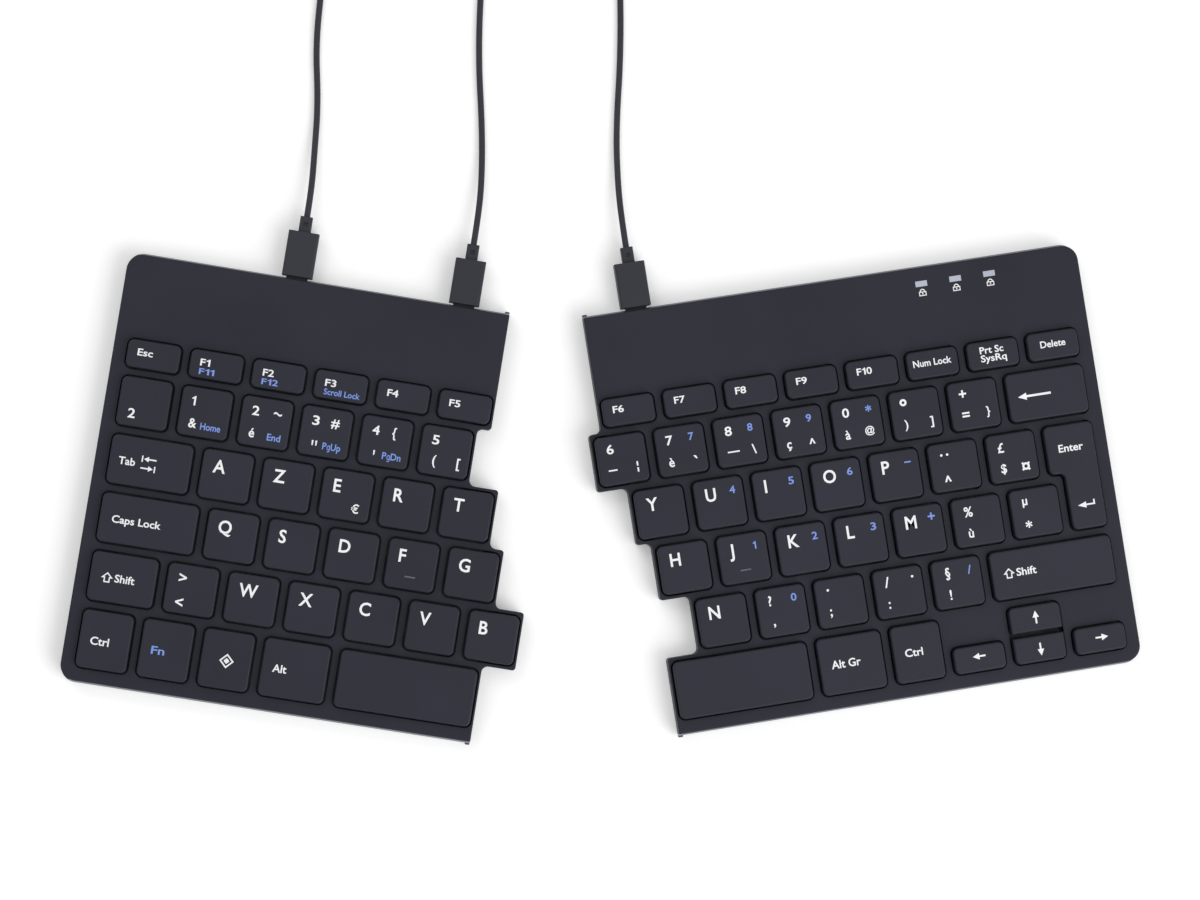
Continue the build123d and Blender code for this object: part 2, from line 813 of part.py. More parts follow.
def coil_gap(arcs):
    """The least gap of the coil to itself, measured on points along its line."""
    samples = 12
    half_turn_samples = 2 * samples
    apart = half_turn_samples + samples // 2
    points = [arc @ (i / samples) for arc in arcs for i in range(samples)]
    gaps = [(b - a).length for i, a in enumerate(points) for b in points[i + apart :]]
    return min(gaps) - cord_diameter


def host_coil(centre):
    """The cord's unseen length, wound in layers as one unbroken tube."""
    arcs, points, tangents = coil_arcs(centre)
    first = Line(points[0] - tangents[0] * cord_diameter, points[0])
    last = Line(points[-1], points[-1] + tangents[-1] * cord_diameter)
    route = Wire([first.edge(), *[arc.edge() for arc in arcs], last.edge()])
    section = Plane(origin=route @ 0, z_dir=route % 0) * Circle(cord_radius)
    tube = sweep(section, path=route)
    share = tube.volume / (section.area * route.length)
    print("coil length", round(route.length, 1), "volume share", share)
    print("coil gap", round(coil_gap(arcs), 2))
    return tube, route


def computer_plug():
    """Grip, boot and metal shell of the computer plug, with +Y towards its mouth."""
    along = (Align.CENTER, Align.MIN, Align.CENTER)
    boot = Box(usb_boot_width, usb_boot_length, usb_boot_width, align=along)
    boot = fillet(boot.edges().filter_by(Axis.Y), boot_round)
    grip = Box(usb_grip_width, usb_grip_length, usb_grip_height, align=along)
    grip = fillet(grip.edges(), usb_grip_round)
    grip = boot + Pos(0, usb_boot_length, 0) * grip
    shell = Box(usb_shell_width, usb_shell_length, usb_shell_height, align=along)
    bore_width = usb_shell_width - 2 * usb_shell_wall
    bore_height = usb_shell_height - 2 * usb_shell_wall
    shell -= Pos(0, usb_shell_wall, 0) * Box(bore_width, usb_shell_length, bore_height, align=along)
    tongue = Box(bore_width, usb_shell_length, usb_tongue_height, align=along)
    level = (usb_shell_height - usb_tongue_height) / 2 - usb_shell_wall
    shell += Pos(0, 0, -level) * tongue
    return grip, Pos(0, usb_boot_length + usb_grip_length, 0) * shell


def plug_end(half, x):
    """The end of a small plug's boot on the desk, and the way the cord leaves it."""
    reach = grip_stand_off + grip_length + boot_length
    place = placed(half) * port_place(half, x)
    start = (place * Pos(0, reach, 0)).position
    return start, start - place.position


def spot(start, offset):
    """A route's point: x and y from a start, and its height above the desk."""
    x, y, height = offset
    return Vector(start.X + x, start.Y + y, height)


def exit_points(half, x):
    """The end of a plug's boot and the end of the straight run out of it."""
    start, way = plug_end(half, x)
    return start, start + way.normalized() * exit_run


def host_cable():
    """The host cable: lead to the coil, coil, tail and the computer plug's place."""
    start, straight = exit_points(left, host_port_x)
    coil_x, coil_y = host_coil_start
    centre = Vector(start.X + coil_x - coil_outer_radius, start.Y + coil_y, 0)
    coil, line = host_coil(centre)
    entering = line @ 0
    lead = [start, straight] + [spot(start, offset) for offset in host_route]
    lead += [entering - (line % 0) * coil_run, entering]
    leaving = line @ 1
    tail = [leaving, leaving + (line % 1) * coil_run]
    tail += [spot(leaving, offset) for offset in coil_tail + [computer_plug_end]]
    solids = [cord_tube(lead, "host lead"), cord_tube(tail, "host tail")]
    plug_way = tail[-1] - tail[-2]
    turn = math.degrees(math.atan2(plug_way.Y, plug_way.X)) - 90
    plug_place = Pos(tail[-1]) * Rot(0, 0, turn)
    return solids, coil, plug_place


def link_cable():
    """The short cable between the halves, in one loop behind them."""
    start, straight = exit_points(left, left_link_port_x)
    end, far_straight = exit_points(right, right.ports[0])
    middle = (start + end) / 2
    points = [start, straight] + [spot(start, offset) for offset in link_left_route]
    points += [spot(middle, offset) for offset in link_loop_top]
    points += [spot(end, offset) for offset in reversed(link_right_route)] + [far_straight, end]
    return cord_tube(points, "link cable")


left = Half("left", 1, left_keys())
right = Half("right", -1, right_keys())
nodes = {}
for half in (left, right):
    for node, solids in half_nodes(half).items():
        nodes[node] = [placed(half) * solid for solid in solids]

# The origin is under the middle of the two halves, without their cords
standing = Compound([solid for node in nodes for solid in nodes[node] if "plug" not in node])
box = standing.bounding_box()
centring = Pos(-(box.min.X + box.max.X) / 2, -(box.min.Y + box.max.Y) / 2)

lead_and_tail, coil_tube, plug_place = host_cable()
grip, shell = computer_plug()
nodes["host_cable"] = lead_and_tail
nodes["host_cable_coil"] = [coil_tube]
nodes["host_cable_computer_plug"] = [plug_place * grip]
nodes["host_cable_computer_plug_shell"] = [plug_place * shell]
nodes["link_cable"] = [link_cable()]

os.makedirs("parts", exist_ok=True)
for node, solids in nodes.items():
    moved = [centring * solid for piece in solids for solid in piece.solids()]
    export_step(Compound(moved), f"parts/{node}.step")
print("nodes", len(nodes), "centred by", centring.position)
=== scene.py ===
import math
import re

import bmesh
import bpy
from mathutils import Matrix, Vector


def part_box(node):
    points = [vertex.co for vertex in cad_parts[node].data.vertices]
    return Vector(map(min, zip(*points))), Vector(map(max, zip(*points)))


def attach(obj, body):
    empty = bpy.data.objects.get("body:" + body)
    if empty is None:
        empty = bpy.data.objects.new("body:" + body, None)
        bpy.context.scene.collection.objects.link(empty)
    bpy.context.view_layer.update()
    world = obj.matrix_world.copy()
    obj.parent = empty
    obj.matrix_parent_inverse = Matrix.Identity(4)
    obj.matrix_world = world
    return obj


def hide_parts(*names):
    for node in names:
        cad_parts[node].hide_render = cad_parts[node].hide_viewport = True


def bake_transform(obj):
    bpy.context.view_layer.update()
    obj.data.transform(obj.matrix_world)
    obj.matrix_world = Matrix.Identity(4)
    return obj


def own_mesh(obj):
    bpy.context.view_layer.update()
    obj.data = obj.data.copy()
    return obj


bl_info = {
    "name": "Split Keyboard Dressing",
    "version": (1, 0, 0),
    "blender": (4, 5, 0),
    "location": "View3D > Sidebar > Keyboard",
    "description": "Finishes, key legends, cords, camera and stage of an ergonomic split keyboard",
    "category": "Object",
}

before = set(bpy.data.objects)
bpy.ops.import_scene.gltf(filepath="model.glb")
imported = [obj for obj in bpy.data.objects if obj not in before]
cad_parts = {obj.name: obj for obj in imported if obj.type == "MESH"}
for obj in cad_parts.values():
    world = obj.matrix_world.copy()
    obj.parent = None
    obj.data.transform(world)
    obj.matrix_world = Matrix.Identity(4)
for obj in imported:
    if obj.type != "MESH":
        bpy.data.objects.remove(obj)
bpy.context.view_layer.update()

# Lengths in the tables below are in millimetres, and MM turns them into metres. Points of a mesh
# that are nearer than MERGE are one point.
MM = 0.001
MERGE = 0.001 * MM
HALF_TURN = math.radians(9.0)
SIDES = {"left": 1, "right": -1}
HOST_PLUG = "host_cable_small_plug"
LEFT_PLUG = "link_cable_left_plug"
RIGHT_PLUG = "link_cable_right_plug"

# The cords' routes, repeated from the part: x and y from a plug's boot end, and height
EXIT_RUN = 9.0
END_PLAY = 0.01
HOST_ROUTE = [(2.2, 20.5, 2.2), (3.3, 37.0, 1.05), (2.4, 56.0, 1.05), (4.6, 77.0, 1.05)]
HOST_COIL_START = (3.8, 102.0)
LINK_LEFT_ROUTE = [(2.6, 20.0, 2.2), (2.8, 37.0, 1.05), (1.4, 62.0, 1.05), (2.6, 90.0, 1.05)]
LINK_LEFT_ROUTE += [(6.0, 112.0, 1.05)]
LINK_RIGHT_ROUTE = [(-2.5, 20.5, 2.2), (-3.0, 38.0, 1.05), (-1.4, 64.0, 1.05), (-1.8, 92.0, 1.05)]
LINK_RIGHT_ROUTE += [(-5.6, 114.0, 1.05)]
LINK_LOOP_TOP = [(-9.2, 130.0, 1.05), (9.4, 130.6, 1.05)]
COIL_TAIL = [(-3.0, 19.5, 7.2), (-10.5, 28.5, 5.2), (-21.0, 32.5, 3.9), (-31.0, 34.0, 3.9)]

# How high above the caps' tops the painted highlight on the homing bars begins, and is full
BAR_HIGHLIGHT_HEIGHTS = (0.06, 0.14)

# How far a key goes down, and how far a pressed dome or link stays clear of it
KEY_TRAVEL = 2.0
FOLD_PLAY = 0.03

# The coil, also repeated from the part
COIL_RADIUS = 18.0
COIL_TURN_PITCH = 2.85
COIL_LAYER_PITCH = 2.5
COIL_HALF_TURNS = [8, 8, 8, 9]
COIL_RUN = 9.5
COIL_START_HEIGHT = 1.05

# The coil's points, which only this script has: how many a half turn gets, how far the straight
# leads keep from the coil, and the place on the first lead of the last point before the coil
COIL_STEPS = 8
COIL_REACH = 2.0
NEAR_SHARE = 0.2

# The soft lights, in metres: places, sides and the point at which both look
KEY_LIGHT_PLACE = (-0.7, 0.9, 1.3)
KEY_LIGHT_SIZE = 1.0
FILL_LIGHT_PLACE = (0.9, -0.7, 1.1)
FILL_LIGHT_SIZE = 1.2
LIGHT_AIM = (0.0, 0.03, 0.0)


def linear(red, green, blue):
    """A screen colour, 0 to 255 each, as the scene's linear colour."""
    shares = [value / 255 for value in (red, green, blue)]
    return tuple(s / 12.92 if s <= 0.04045 else ((s + 0.055) / 1.055) ** 2.4 for s in shares)


def colour_property(name, description, screen):
    return bpy.props.FloatVectorProperty(
        name=name, description=description, default=linear(*screen), subtype="COLOR", min=0, max=1
    )


def length_property(name, description, default):
    return bpy.props.FloatProperty(
        name=name, description=description, default=default, subtype="DISTANCE", unit="LENGTH"
    )


class CameraLook(bpy.types.PropertyGroup):
    """Where the camera stands, above the keyboard and a little to its left."""

    place: bpy.props.FloatVectorProperty(
        name="Place", description="Where the camera stands", default=(-0.0745, -0.02134, 0.95331),
        subtype="TRANSLATION", unit="LENGTH",
    )
    aim: bpy.props.FloatVectorProperty(
        name="Aim", description="The point on the desk in the middle of the view",
        default=(-0.00192, 0.01347, 0.0), subtype="TRANSLATION", unit="LENGTH",
    )
    roll: bpy.props.FloatProperty(
        name="Roll", description="Turn of the picture about the line of sight", default=0.0009,
        subtype="ANGLE", unit="ROTATION",
    )
    focal: bpy.props.FloatProperty(
        name="Focal length", description="Focal length on a 36 mm wide sensor", default=90.0, unit="CAMERA"
    )


class ShellLook(bpy.types.PropertyGroup):
    """Colours of the casing, the caps and what is inside."""

    case: colour_property("Case", "Moulded covers", (41, 42, 52))
    # Lip colour: a painted highlight, pale strips along the floor shell's back and front edges
    lip_highlight: colour_property("Lip", "Painted highlight strip at the back and front edges", (168, 169, 176))
    nub: colour_property("Nubs", "Corner nubs of the floor shell", (92, 94, 100))
    cap: colour_property("Caps", "Keycaps", (41, 42, 53))
    # Homing bars colour: a painted highlight on the tops of the homing bars
    bar: colour_property("Homing bars", "Painted highlight on the homing bars' tops", (98, 99, 106))
    window: colour_property("Windows", "Clear status windows", (180, 185, 200))
    rubber: colour_property("Rubber", "Feet and domes", (30, 30, 32))
    link: colour_property("Links", "Scissor links", (40, 40, 44))
    # Plate colour: darkened as painted shade, so the gaps between the caps read dark
    plate: colour_property("Plate", "Support plate darkened for painted shade", (52, 53, 56))
    # Lip width: how wide the painted highlight strips along the back and front edges are
    lip_highlight_width: length_property("Lip width", "Width of the bare strip at the back and front", 0.6 * MM)
    nub_reach: length_property("Nub reach", "How far the nubs stand out past the floor shell", 0.6 * MM)
    grain: length_property("Grain", "Size of the moulded texture's grains", 0.35 * MM)


class LegendLook(bpy.types.PropertyGroup):
    """Inks and thickness of the printed legends."""

    white: colour_property("White ink", "Main legends", (250, 250, 252))
    blue: colour_property("Blue ink", "Second legends", (126, 156, 232))
    bolder: bpy.props.FloatProperty(
        name="Bolder", description="How much the letters' strokes swell, as a share of the letter size",
        default=0.018,
    )
    thickness: length_property("Thickness", "How thick the printed ink is", 0.04 * MM)
    sunk: length_property("Sunk", "How far the ink's underside lies in the cap", 0.01 * MM)


class CordLook(bpy.types.PropertyGroup):
    """Sizes and colour of the two cords."""

    diameter: length_property("Diameter", "Diameter of both cords", 2.0 * MM)
    host_length: length_property("Host cord", "Length of the host cord", 1.55)
    link_length: length_property("Link cord", "Length of the cord between the halves", 0.281)
    jacket: colour_property("Jacket", "Cord jacket and moulded plugs", (42, 43, 52))


class StageLook(bpy.types.PropertyGroup):
    """The floor and the lights."""

    floor: colour_property("Floor", "Pale floor", (250, 250, 250))
    floor_size: length_property("Floor size", "Side of the square floor", 6.0)
    glow: bpy.props.FloatProperty(
        name="Glow", description="Light that the floor gives by itself", default=0.2
    )
    sky: bpy.props.FloatProperty(name="Sky", description="Strength of the even light", default=0.56)
    key_power: bpy.props.FloatProperty(
        name="Key light", description="Power of the big soft light", default=4.6, unit="POWER"
    )
    fill_power: bpy.props.FloatProperty(
        name="Fill light", description="Power of the soft light on the other side", default=13.0, unit="POWER"
    )


class KeyboardLook(bpy.types.PropertyGroup):
    """All settings of the dressed keyboard."""

    camera: bpy.props.PointerProperty(type=CameraLook)
    shell: bpy.props.PointerProperty(type=ShellLook)
    legend: bpy.props.PointerProperty(type=LegendLook)
    cord: bpy.props.PointerProperty(type=CordLook)
    stage: bpy.props.PointerProperty(type=StageLook)


def deselect():
    if bpy.context.object and bpy.context.object.mode != "OBJECT":
        bpy.ops.object.mode_set(mode="OBJECT")
    bpy.ops.object.select_all(action="DESELECT")


def node_side(node):
    return SIDES["left" if node.startswith("left") else "right"]


def upright_turn(side):
    """Turns a place on the desk into one beside a half that lies square."""
    return Matrix.Rotation(side * HALF_TURN, 4, "Z")


def node_places(node):
    return [vertex.co.copy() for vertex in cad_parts[node].data.vertices]


class Wiring:
    """Node tree of one material, with short calls for the nodes that the finishes need."""

    def __init__(self, name):
        self.material = bpy.data.materials.new(name)
        self.material.use_nodes = True
        self.tree = self.material.node_tree
        self.shader = self.tree.nodes["Principled BSDF"]
        self.coordinates = self.add("ShaderNodeTexCoord").outputs["Object"]

    def add(self, kind, **values):
        node = self.tree.nodes.new(kind)
        for name, value in values.items():
            setattr(node, name, value)
        return node

    def link(self, source, target):
        self.tree.links.new(source, target)

    def noise(self, scale, detail=2.0, roughness=0.5, source=None):
        node = self.add("ShaderNodeTexNoise")
        node.inputs["Scale"].default_value = scale
        node.inputs["Detail"].default_value = detail
        node.inputs["Roughness"].default_value = roughness
        self.link(source or self.coordinates, node.inputs["Vector"])
        return node.outputs["Fac"]

    def spread(self, source, low, high):
        """A pattern's middle stretch, spread between two values."""
        node = self.add("ShaderNodeMapRange")
        node.inputs["From Min"].default_value = 0.3
        node.inputs["From Max"].default_value = 0.7
        node.inputs["To Min"].default_value = low
        node.inputs["To Max"].default_value = high
        self.link(source, node.inputs["Value"])
        return node.outputs["Result"]

    def step(self, source, low, high):
        """Zero below one value and one above the other."""
        node = self.add("ShaderNodeMapRange")
        node.inputs["From Min"].default_value = low
        node.inputs["From Max"].default_value = high
        self.link(source, node.inputs["Value"])
        return node.outputs["Result"]

    def blend(self, share, first, second):
        """Colours or colour outputs mixed by a share."""
        node = self.add("ShaderNodeMix", data_type="RGBA")
        for socket, value in ((6, first), (7, second)):
            if hasattr(value, "is_output"):
                self.link(value, node.inputs[socket])
            else:
                node.inputs[socket].default_value = (*value, 1.0)
        self.link(share, node.inputs[0])
        return node.outputs[2]

    def bump(self, source, distance, strength=1.0, after=None):
        node = self.add("ShaderNodeBump")
        node.inputs["Distance"].default_value = distance
        node.inputs["Strength"].default_value = strength
        self.link(source, node.inputs["Height"])
        if after:
            self.link(after, node.inputs["Normal"])
        return node.outputs["Normal"]


def shaded(colour, share):
    return tuple(min(1.0, value * share) for value in colour[:3])


def moulded(name, colour, roughness, grain, depth=0.02 * MM, specular=0.4, uneven=0.1):
    """Moulded plastic or rubber: fine grains, faint clouds and an uneven sheen."""
    wiring = Wiring(name)
    clouds = wiring.noise(22.0, 4.0, 0.6)
    grains = wiring.noise(1 / grain, 2.0, 0.55)
    tint = wiring.blend(
        wiring.spread(clouds, 0.0, 1.0), shaded(colour, 1 - uneven), shaded(colour, 1 + uneven)
    )
    specks = wiring.blend(wiring.spread(grains, 0.0, 0.25), tint, shaded(colour, 1 + 2 * uneven))
    wiring.link(specks, wiring.shader.inputs["Base Color"])
    sheen = wiring.spread(clouds, roughness - 0.04, roughness + 0.05)
    wiring.link(sheen, wiring.shader.inputs["Roughness"])
    wiring.link(wiring.bump(grains, depth), wiring.shader.inputs["Normal"])
    wiring.shader.inputs["Specular IOR Level"].default_value = specular
    return wiring


def case_with_lip_highlight(name, look, side, back, front):
    """The floor shell's plastic, with a painted highlight: pale strips along its back and front edges."""
    wiring = moulded(name, look.case, 0.5, look.grain, specular=0.2)
    turn = wiring.add("ShaderNodeMapping")
    turn.inputs["Rotation"].default_value = (0.0, 0.0, side * HALF_TURN)
    middle = (back + front) / 2
    turn.inputs["Location"].default_value = (0.0, -middle, 0.0)
    wiring.link(wiring.coordinates, turn.inputs["Vector"])
    parts = wiring.add("ShaderNodeSeparateXYZ")
    wiring.link(turn.outputs["Vector"], parts.inputs["Vector"])
    away = wiring.add("ShaderNodeMath", operation="ABSOLUTE")
    wiring.link(parts.outputs["Y"], away.inputs[0])
    reach = (back - front) / 2
    seam = 0.04 * MM
    # Painted highlight: pale strips inside the back and front edges; the nubs beyond them keep their own
    # colour
    strip = wiring.step(away.outputs["Value"], reach - look.lip_highlight_width - seam, reach - look.lip_highlight_width)
    beyond = wiring.step(away.outputs["Value"], reach, reach + seam)
    plain = wiring.shader.inputs["Base Color"].links[0].from_socket
    painted_highlight = wiring.blend(wiring.noise(90.0, 3.0), shaded(look.lip_highlight, 0.85), shaded(look.lip_highlight, 1.1))
    nubs = wiring.blend(beyond, painted_highlight, look.nub[:3])
    wiring.link(wiring.blend(strip, plain, nubs), wiring.shader.inputs["Base Color"])
    return wiring.material


def cap_plastic(name, look):
    return moulded(name, look.cap, 0.46, look.grain * 0.8, specular=0.24)


def cap_with_bar_highlight(look):
    """Cap plastic whose homing bars, the only places above the caps' tops, get a painted pale highlight."""
    wiring = cap_plastic("homing cap plastic with painted highlight", look)
    parts = wiring.add("ShaderNodeSeparateXYZ")
    wiring.link(wiring.coordinates, parts.inputs["Vector"])
    # Painted highlight: above these heights the homing bars' tops turn pale
    low, high = (cap_top() + height * MM for height in BAR_HIGHLIGHT_HEIGHTS)
    bar_highlight = wiring.step(parts.outputs["Z"], low, high)
    plain = wiring.shader.inputs["Base Color"].links[0].from_socket
    wiring.link(wiring.blend(bar_highlight, plain, look.bar[:3]), wiring.shader.inputs["Base Color"])
    return wiring.material


def metal(name, colour, roughness, stretch=(1.0, 1.0, 1.0)):
    """Bare metal with fine drawn or rolled lines and a mottled polish."""
    wiring = Wiring(name)
    lines = wiring.add("ShaderNodeMapping")
    lines.inputs["Scale"].default_value = stretch
    wiring.link(wiring.coordinates, lines.inputs["Vector"])
    drawn = wiring.noise(900.0, 2.0, 0.6, lines.outputs["Vector"])
    mottle = wiring.noise(60.0, 3.0)
    tint = wiring.blend(mottle, shaded(colour, 0.86), shaded(colour, 1.05))
    wiring.link(tint, wiring.shader.inputs["Base Color"])
    wiring.link(wiring.spread(drawn, roughness - 0.07, roughness + 0.09), wiring.shader.inputs["Roughness"])
    wiring.link(wiring.bump(drawn, 0.006 * MM), wiring.shader.inputs["Normal"])
    wiring.shader.inputs["Metallic"].default_value = 1.0
    return wiring.material


def laminate(name):
    """Circuit board: solder mask with darker tracks under it."""
    wiring = Wiring(name)
    tracks = wiring.add("ShaderNodeTexBrick")
    tracks.inputs["Scale"].default_value = 160.0
    tracks.inputs["Mortar Size"].default_value = 0.03
    tracks.inputs["Color1"].default_value = (*linear(20, 74, 48), 1.0)
    tracks.inputs["Color2"].default_value = (*linear(24, 84, 54), 1.0)
    tracks.inputs["Mortar"].default_value = (*linear(40, 110, 70), 1.0)
    wiring.link(wiring.coordinates, tracks.inputs["Vector"])
    wiring.link(tracks.outputs["Color"], wiring.shader.inputs["Base Color"])
    mask = wiring.noise(300.0)
    wiring.link(wiring.spread(mask, 0.28, 0.42), wiring.shader.inputs["Roughness"])
    wiring.link(wiring.bump(mask, 0.01 * MM), wiring.shader.inputs["Normal"])
    return wiring.material


def film(name):
    """Switch sheet: film darkened as painted shade for the gaps between the caps, with faint printed tracks.
    """
    wiring = Wiring(name)
    rings = wiring.add("ShaderNodeTexVoronoi", feature="DISTANCE_TO_EDGE")
    rings.inputs["Scale"].default_value = 55.0
    wiring.link(wiring.coordinates, rings.inputs["Vector"])
    tracks = wiring.step(rings.outputs["Distance"], 0.0, 0.05)
    # Painted shade: both tones are dark so the sheet reads as shade under the caps
    tint = wiring.blend(tracks, linear(52, 54, 58), linear(26, 28, 32))
    wiring.link(tint, wiring.shader.inputs["Base Color"])
    haze = wiring.noise(200.0)
    wiring.link(wiring.spread(haze, 0.25, 0.4), wiring.shader.inputs["Roughness"])
    return wiring.material


def clear_window(name, colour):
    """Frosted light guide with a thin clear coat."""
    wiring = moulded(name, colour, 0.34, 0.6 * MM, depth=0.008 * MM, specular=0.5, uneven=0.05)
    wiring.shader.inputs["Coat Weight"].default_value = 0.3
    wiring.shader.inputs["Coat Roughness"].default_value = 0.2
    return wiring.material


def ink(name, colour):
    """Printed legend ink: faintly uneven and a little glossier than the cap."""
    wiring = Wiring(name)
    spots = wiring.noise(1600.0, 3.0)
    clouds = wiring.noise(240.0)
    tint = wiring.blend(wiring.spread(clouds, 0.0, 1.0), shaded(colour, 0.93), colour[:3])
    wiring.link(tint, wiring.shader.inputs["Base Color"])
    wiring.link(wiring.spread(spots, 0.42, 0.55), wiring.shader.inputs["Roughness"])
    wiring.link(wiring.bump(spots, 0.004 * MM), wiring.shader.inputs["Normal"])
    return wiring.material


def jacket(name, colour):
    """Matte cord jacket and plug moulding with a faint skin."""
    wiring = moulded(name, colour, 0.52, 0.3 * MM, depth=0.012 * MM, specular=0.38, uneven=0.08)
    return wiring.material


def paint(node, material):
    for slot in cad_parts[node].material_slots:
        slot.material = material


def half_edges(node):
    """Back and front edge of a node in its half's square-lying frame."""
    turn = upright_turn(node_side(node))
    places = [turn @ place for place in node_places(node)]
    return max(place.y for place in places), min(place.y for place in places)


class KEYBOARD_OT_finishes(bpy.types.Operator):
    """Gives every part of the frame its finish"""

    bl_idname = "keyboard.finishes"
    bl_label = "Finish the parts"

    def execute(self, context):
        look = context.scene.keyboard_look
        shell = look.shell
        case = moulded("case plastic", shell.case, 0.5, shell.grain, specular=0.2).material
        cap = cap_plastic("cap plastic", shell).material
        rubber = moulded("soft rubber", shell.rubber, 0.75, 0.6 * MM, depth=0.04 * MM, specular=0.2).material
        links = moulded("link plastic", shell.link, 0.45, 0.5 * MM, specular=0.2).material
        cord = jacket("plug moulding", look.cord.jacket)
        steel = metal("bright steel", (0.62, 0.61, 0.6), 0.32)
        plated = metal("plated shell", (0.72, 0.71, 0.68), 0.26, (1.0, 8.0, 8.0))
        # Plug tips: metal darkened far below bright plating, as painted shade on the tips
        dark = metal("plug tip shell darkened for painted shade", (0.04, 0.04, 0.05), 0.4, (1.0, 8.0, 8.0))
        # The support plate is darkened as painted shade for the gaps between the caps
        plate = moulded("plate darkened for painted shade", shell.plate, 0.5, 0.8 * MM, specular=0.25).material
        board = laminate("board laminate")
        # The switch sheet is darkened as painted shade under the caps
        sheet = film("switch film darkened for painted shade")
        window = clear_window("window plastic", shell.window)
        finishes = {
            "top_cover": case, "support_plate": plate, "switch_sheet": sheet, "rubber_domes": rubber,
            "scissor_links": links, "circuit_board": board, "cable_sockets": plated, "screws": steel,
            "rubber_feet": rubber, "status_windows": window, "_key": cap, "_keys": cap,
            "_plug": cord, "_tip": dark, "_shell": plated,
        }
        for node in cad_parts:
            for ending, material in finishes.items():
                if node.endswith(ending):
                    paint(node, material)
        # Caps with homing bars get the painted highlight on the bars' tops
        homing = cap_with_bar_highlight(shell)
        for half, side in SIDES.items():
            paint(f"{half}_home_letter_keys", homing)
            node = f"{half}_bottom_cover"
            back, front = half_edges(node)
            edges = (back - shell.nub_reach, front + shell.nub_reach)
            # Each floor shell gets the painted highlight along its back and front edges
            paint(node, case_with_lip_highlight(f"{half} floor shell", shell, side, *edges))
        return {"FINISHED"}


class Mark:
    """One printed mark: its text or outlines, and its place from the cap's back left corner."""

    def __init__(self, shape, x, y, height, width=0.0, blue=False, centred=False):
        self.shape = shape
        self.x = x
        self.y = y
        self.height = height
        self.width = width
        self.blue = blue
        self.centred = centred


def word(text, x, y, height, width=0.0, blue=False):
    """Text that starts at x on the line y."""
    return Mark(text, x, y, height, width, blue)


def sign(shape, x, y, size, blue=False):
    """A sign centred at a place, as large as size in its longer direction."""
    return Mark(shape, x, y, size, blue=blue, centred=True)


def letter(text):
    return word(text, 3.5, 7.3, 4.15)


def letters(row):
    """Marks of caps that carry one letter each."""
    return [[letter(text)] for text in row]


def pad_letter(text, digit):
    """A letter whose cap also carries a number pad digit."""
    return [letter(text), word(digit, 11.3, 5.7, 2.4, 0.0 if digit == "1" else 1.8, blue=True)]


def upper(text, width=0.0):
    return word(text, 3.3, 6.0, 2.95, width)


def figure(text):
    """A figure of the number row, wider than the font draws it."""
    return upper(text, 2.25)


def lower(text):
    return word(text, 3.3, 13.0, 3.0)


def name_mark(text, width=0.0):
    return word(text, 3.2, 5.05, 2.2, width)


def second_name(text, width=0.0):
    return word(text, 3.2, 7.75, 1.9, width, blue=True)


def arrow(length, shaft, head_length, head_width, turn=0):
    """Outline of an arrow that points left, turned by quarter turns."""
    tip, end = -length / 2, length / 2
    neck = tip + head_length
    points = [(tip, 0), (neck, head_width / 2), (neck, shaft / 2), (end, shaft / 2)]
    points += [(end, -shaft / 2), (neck, -shaft / 2), (neck, -head_width / 2)]
    for _ in range(turn):
        points = [(y, -x) for x, y in points]
    return points


def box_outline(x, y, width, height):
    """Corners of a rectangle round a centre."""
    return [(x + a * width / 2, y + b * height / 2) for a, b in ((-1, -1), (1, -1), (1, 1), (-1, 1))]


def moved(points, x, y):
    return [(a + x, b + y) for a, b in points]


def arc(radius, first, last, steps=12):
    """Points on an arc about zero, from one angle to another in degrees."""
    angles = [math.radians(first + (last - first) * i / steps) for i in range(steps + 1)]
    return [(radius * math.cos(a), radius * math.sin(a)) for a in angles]


def tab_arrows():
    """Two stop arrows, to the left above and to the right below."""
    upward, shaft, bar = 1.45, 0.45, 2.0
    first = moved(arrow(3.9, shaft, 1.5, 1.7), 0.35, upward)
    second = moved(arrow(3.9, shaft, 1.5, 1.7, turn=2), -0.35, -upward)
    return [
        first, box_outline(-2.1, upward, 0.4, bar), second, box_outline(2.1, -upward, 0.4, bar),
    ]


def return_arrow():
    """An arrow to the left with a stem up at its right end."""
    head, shaft, right, rise = 2.7, 0.5, 2.8, 1.4
    points = [(-right, 0), (head - right, 1.0), (head - right, shaft / 2), (right - shaft, shaft / 2)]
    points += [(right - shaft, rise), (right, rise), (right, -shaft / 2), (head - right, -shaft / 2)]
    return [points + [(head - right, -1.0)]]


def shift_arrow():
    """A hollow arrow that points up."""
    outer = [(0, 1.65), (1.85, -0.2), (0.95, -0.2), (0.95, -1.6), (-0.95, -1.6), (-0.95, -0.2)]
    inner = [(0, 1.1), (1.0, 0.2), (0.58, 0.2), (0.58, -1.2), (-0.58, -1.2), (-0.58, 0.2)]
    return [outer + [(-1.85, -0.2)], inner + [(-1.0, 0.2)]]


def meta_sign():
    """A plain lozenge in a lozenge, for the key that opens menus."""
    reaches = (2.3, 1.65, 0.95)
    return [[(0, r), (r, 0), (0, -r), (-r, 0)] for r in reaches]


def padlock():
    """A small padlock: ring shaped body, keyhole and shackle."""
    body = box_outline(0, -0.45, 2.6, 1.5)
    inside = box_outline(0, -0.45, 2.0, 0.9)
    keyhole = box_outline(0, -0.4, 0.36, 0.6)
    shackle = moved(arc(0.95, 0, 180) + arc(0.6, 180, 0), 0, 0.3)
    return [body, inside, keyhole, shackle]


def long_arrow():
    return [arrow(10.75, 0.7, 2.8, 2.3)]


def short_arrow(turn):
    return [arrow(4.1, 0.55, 2.1, 2.1, turn)]


def dot():
    return [arc(0.4, 0, 330, 11)]


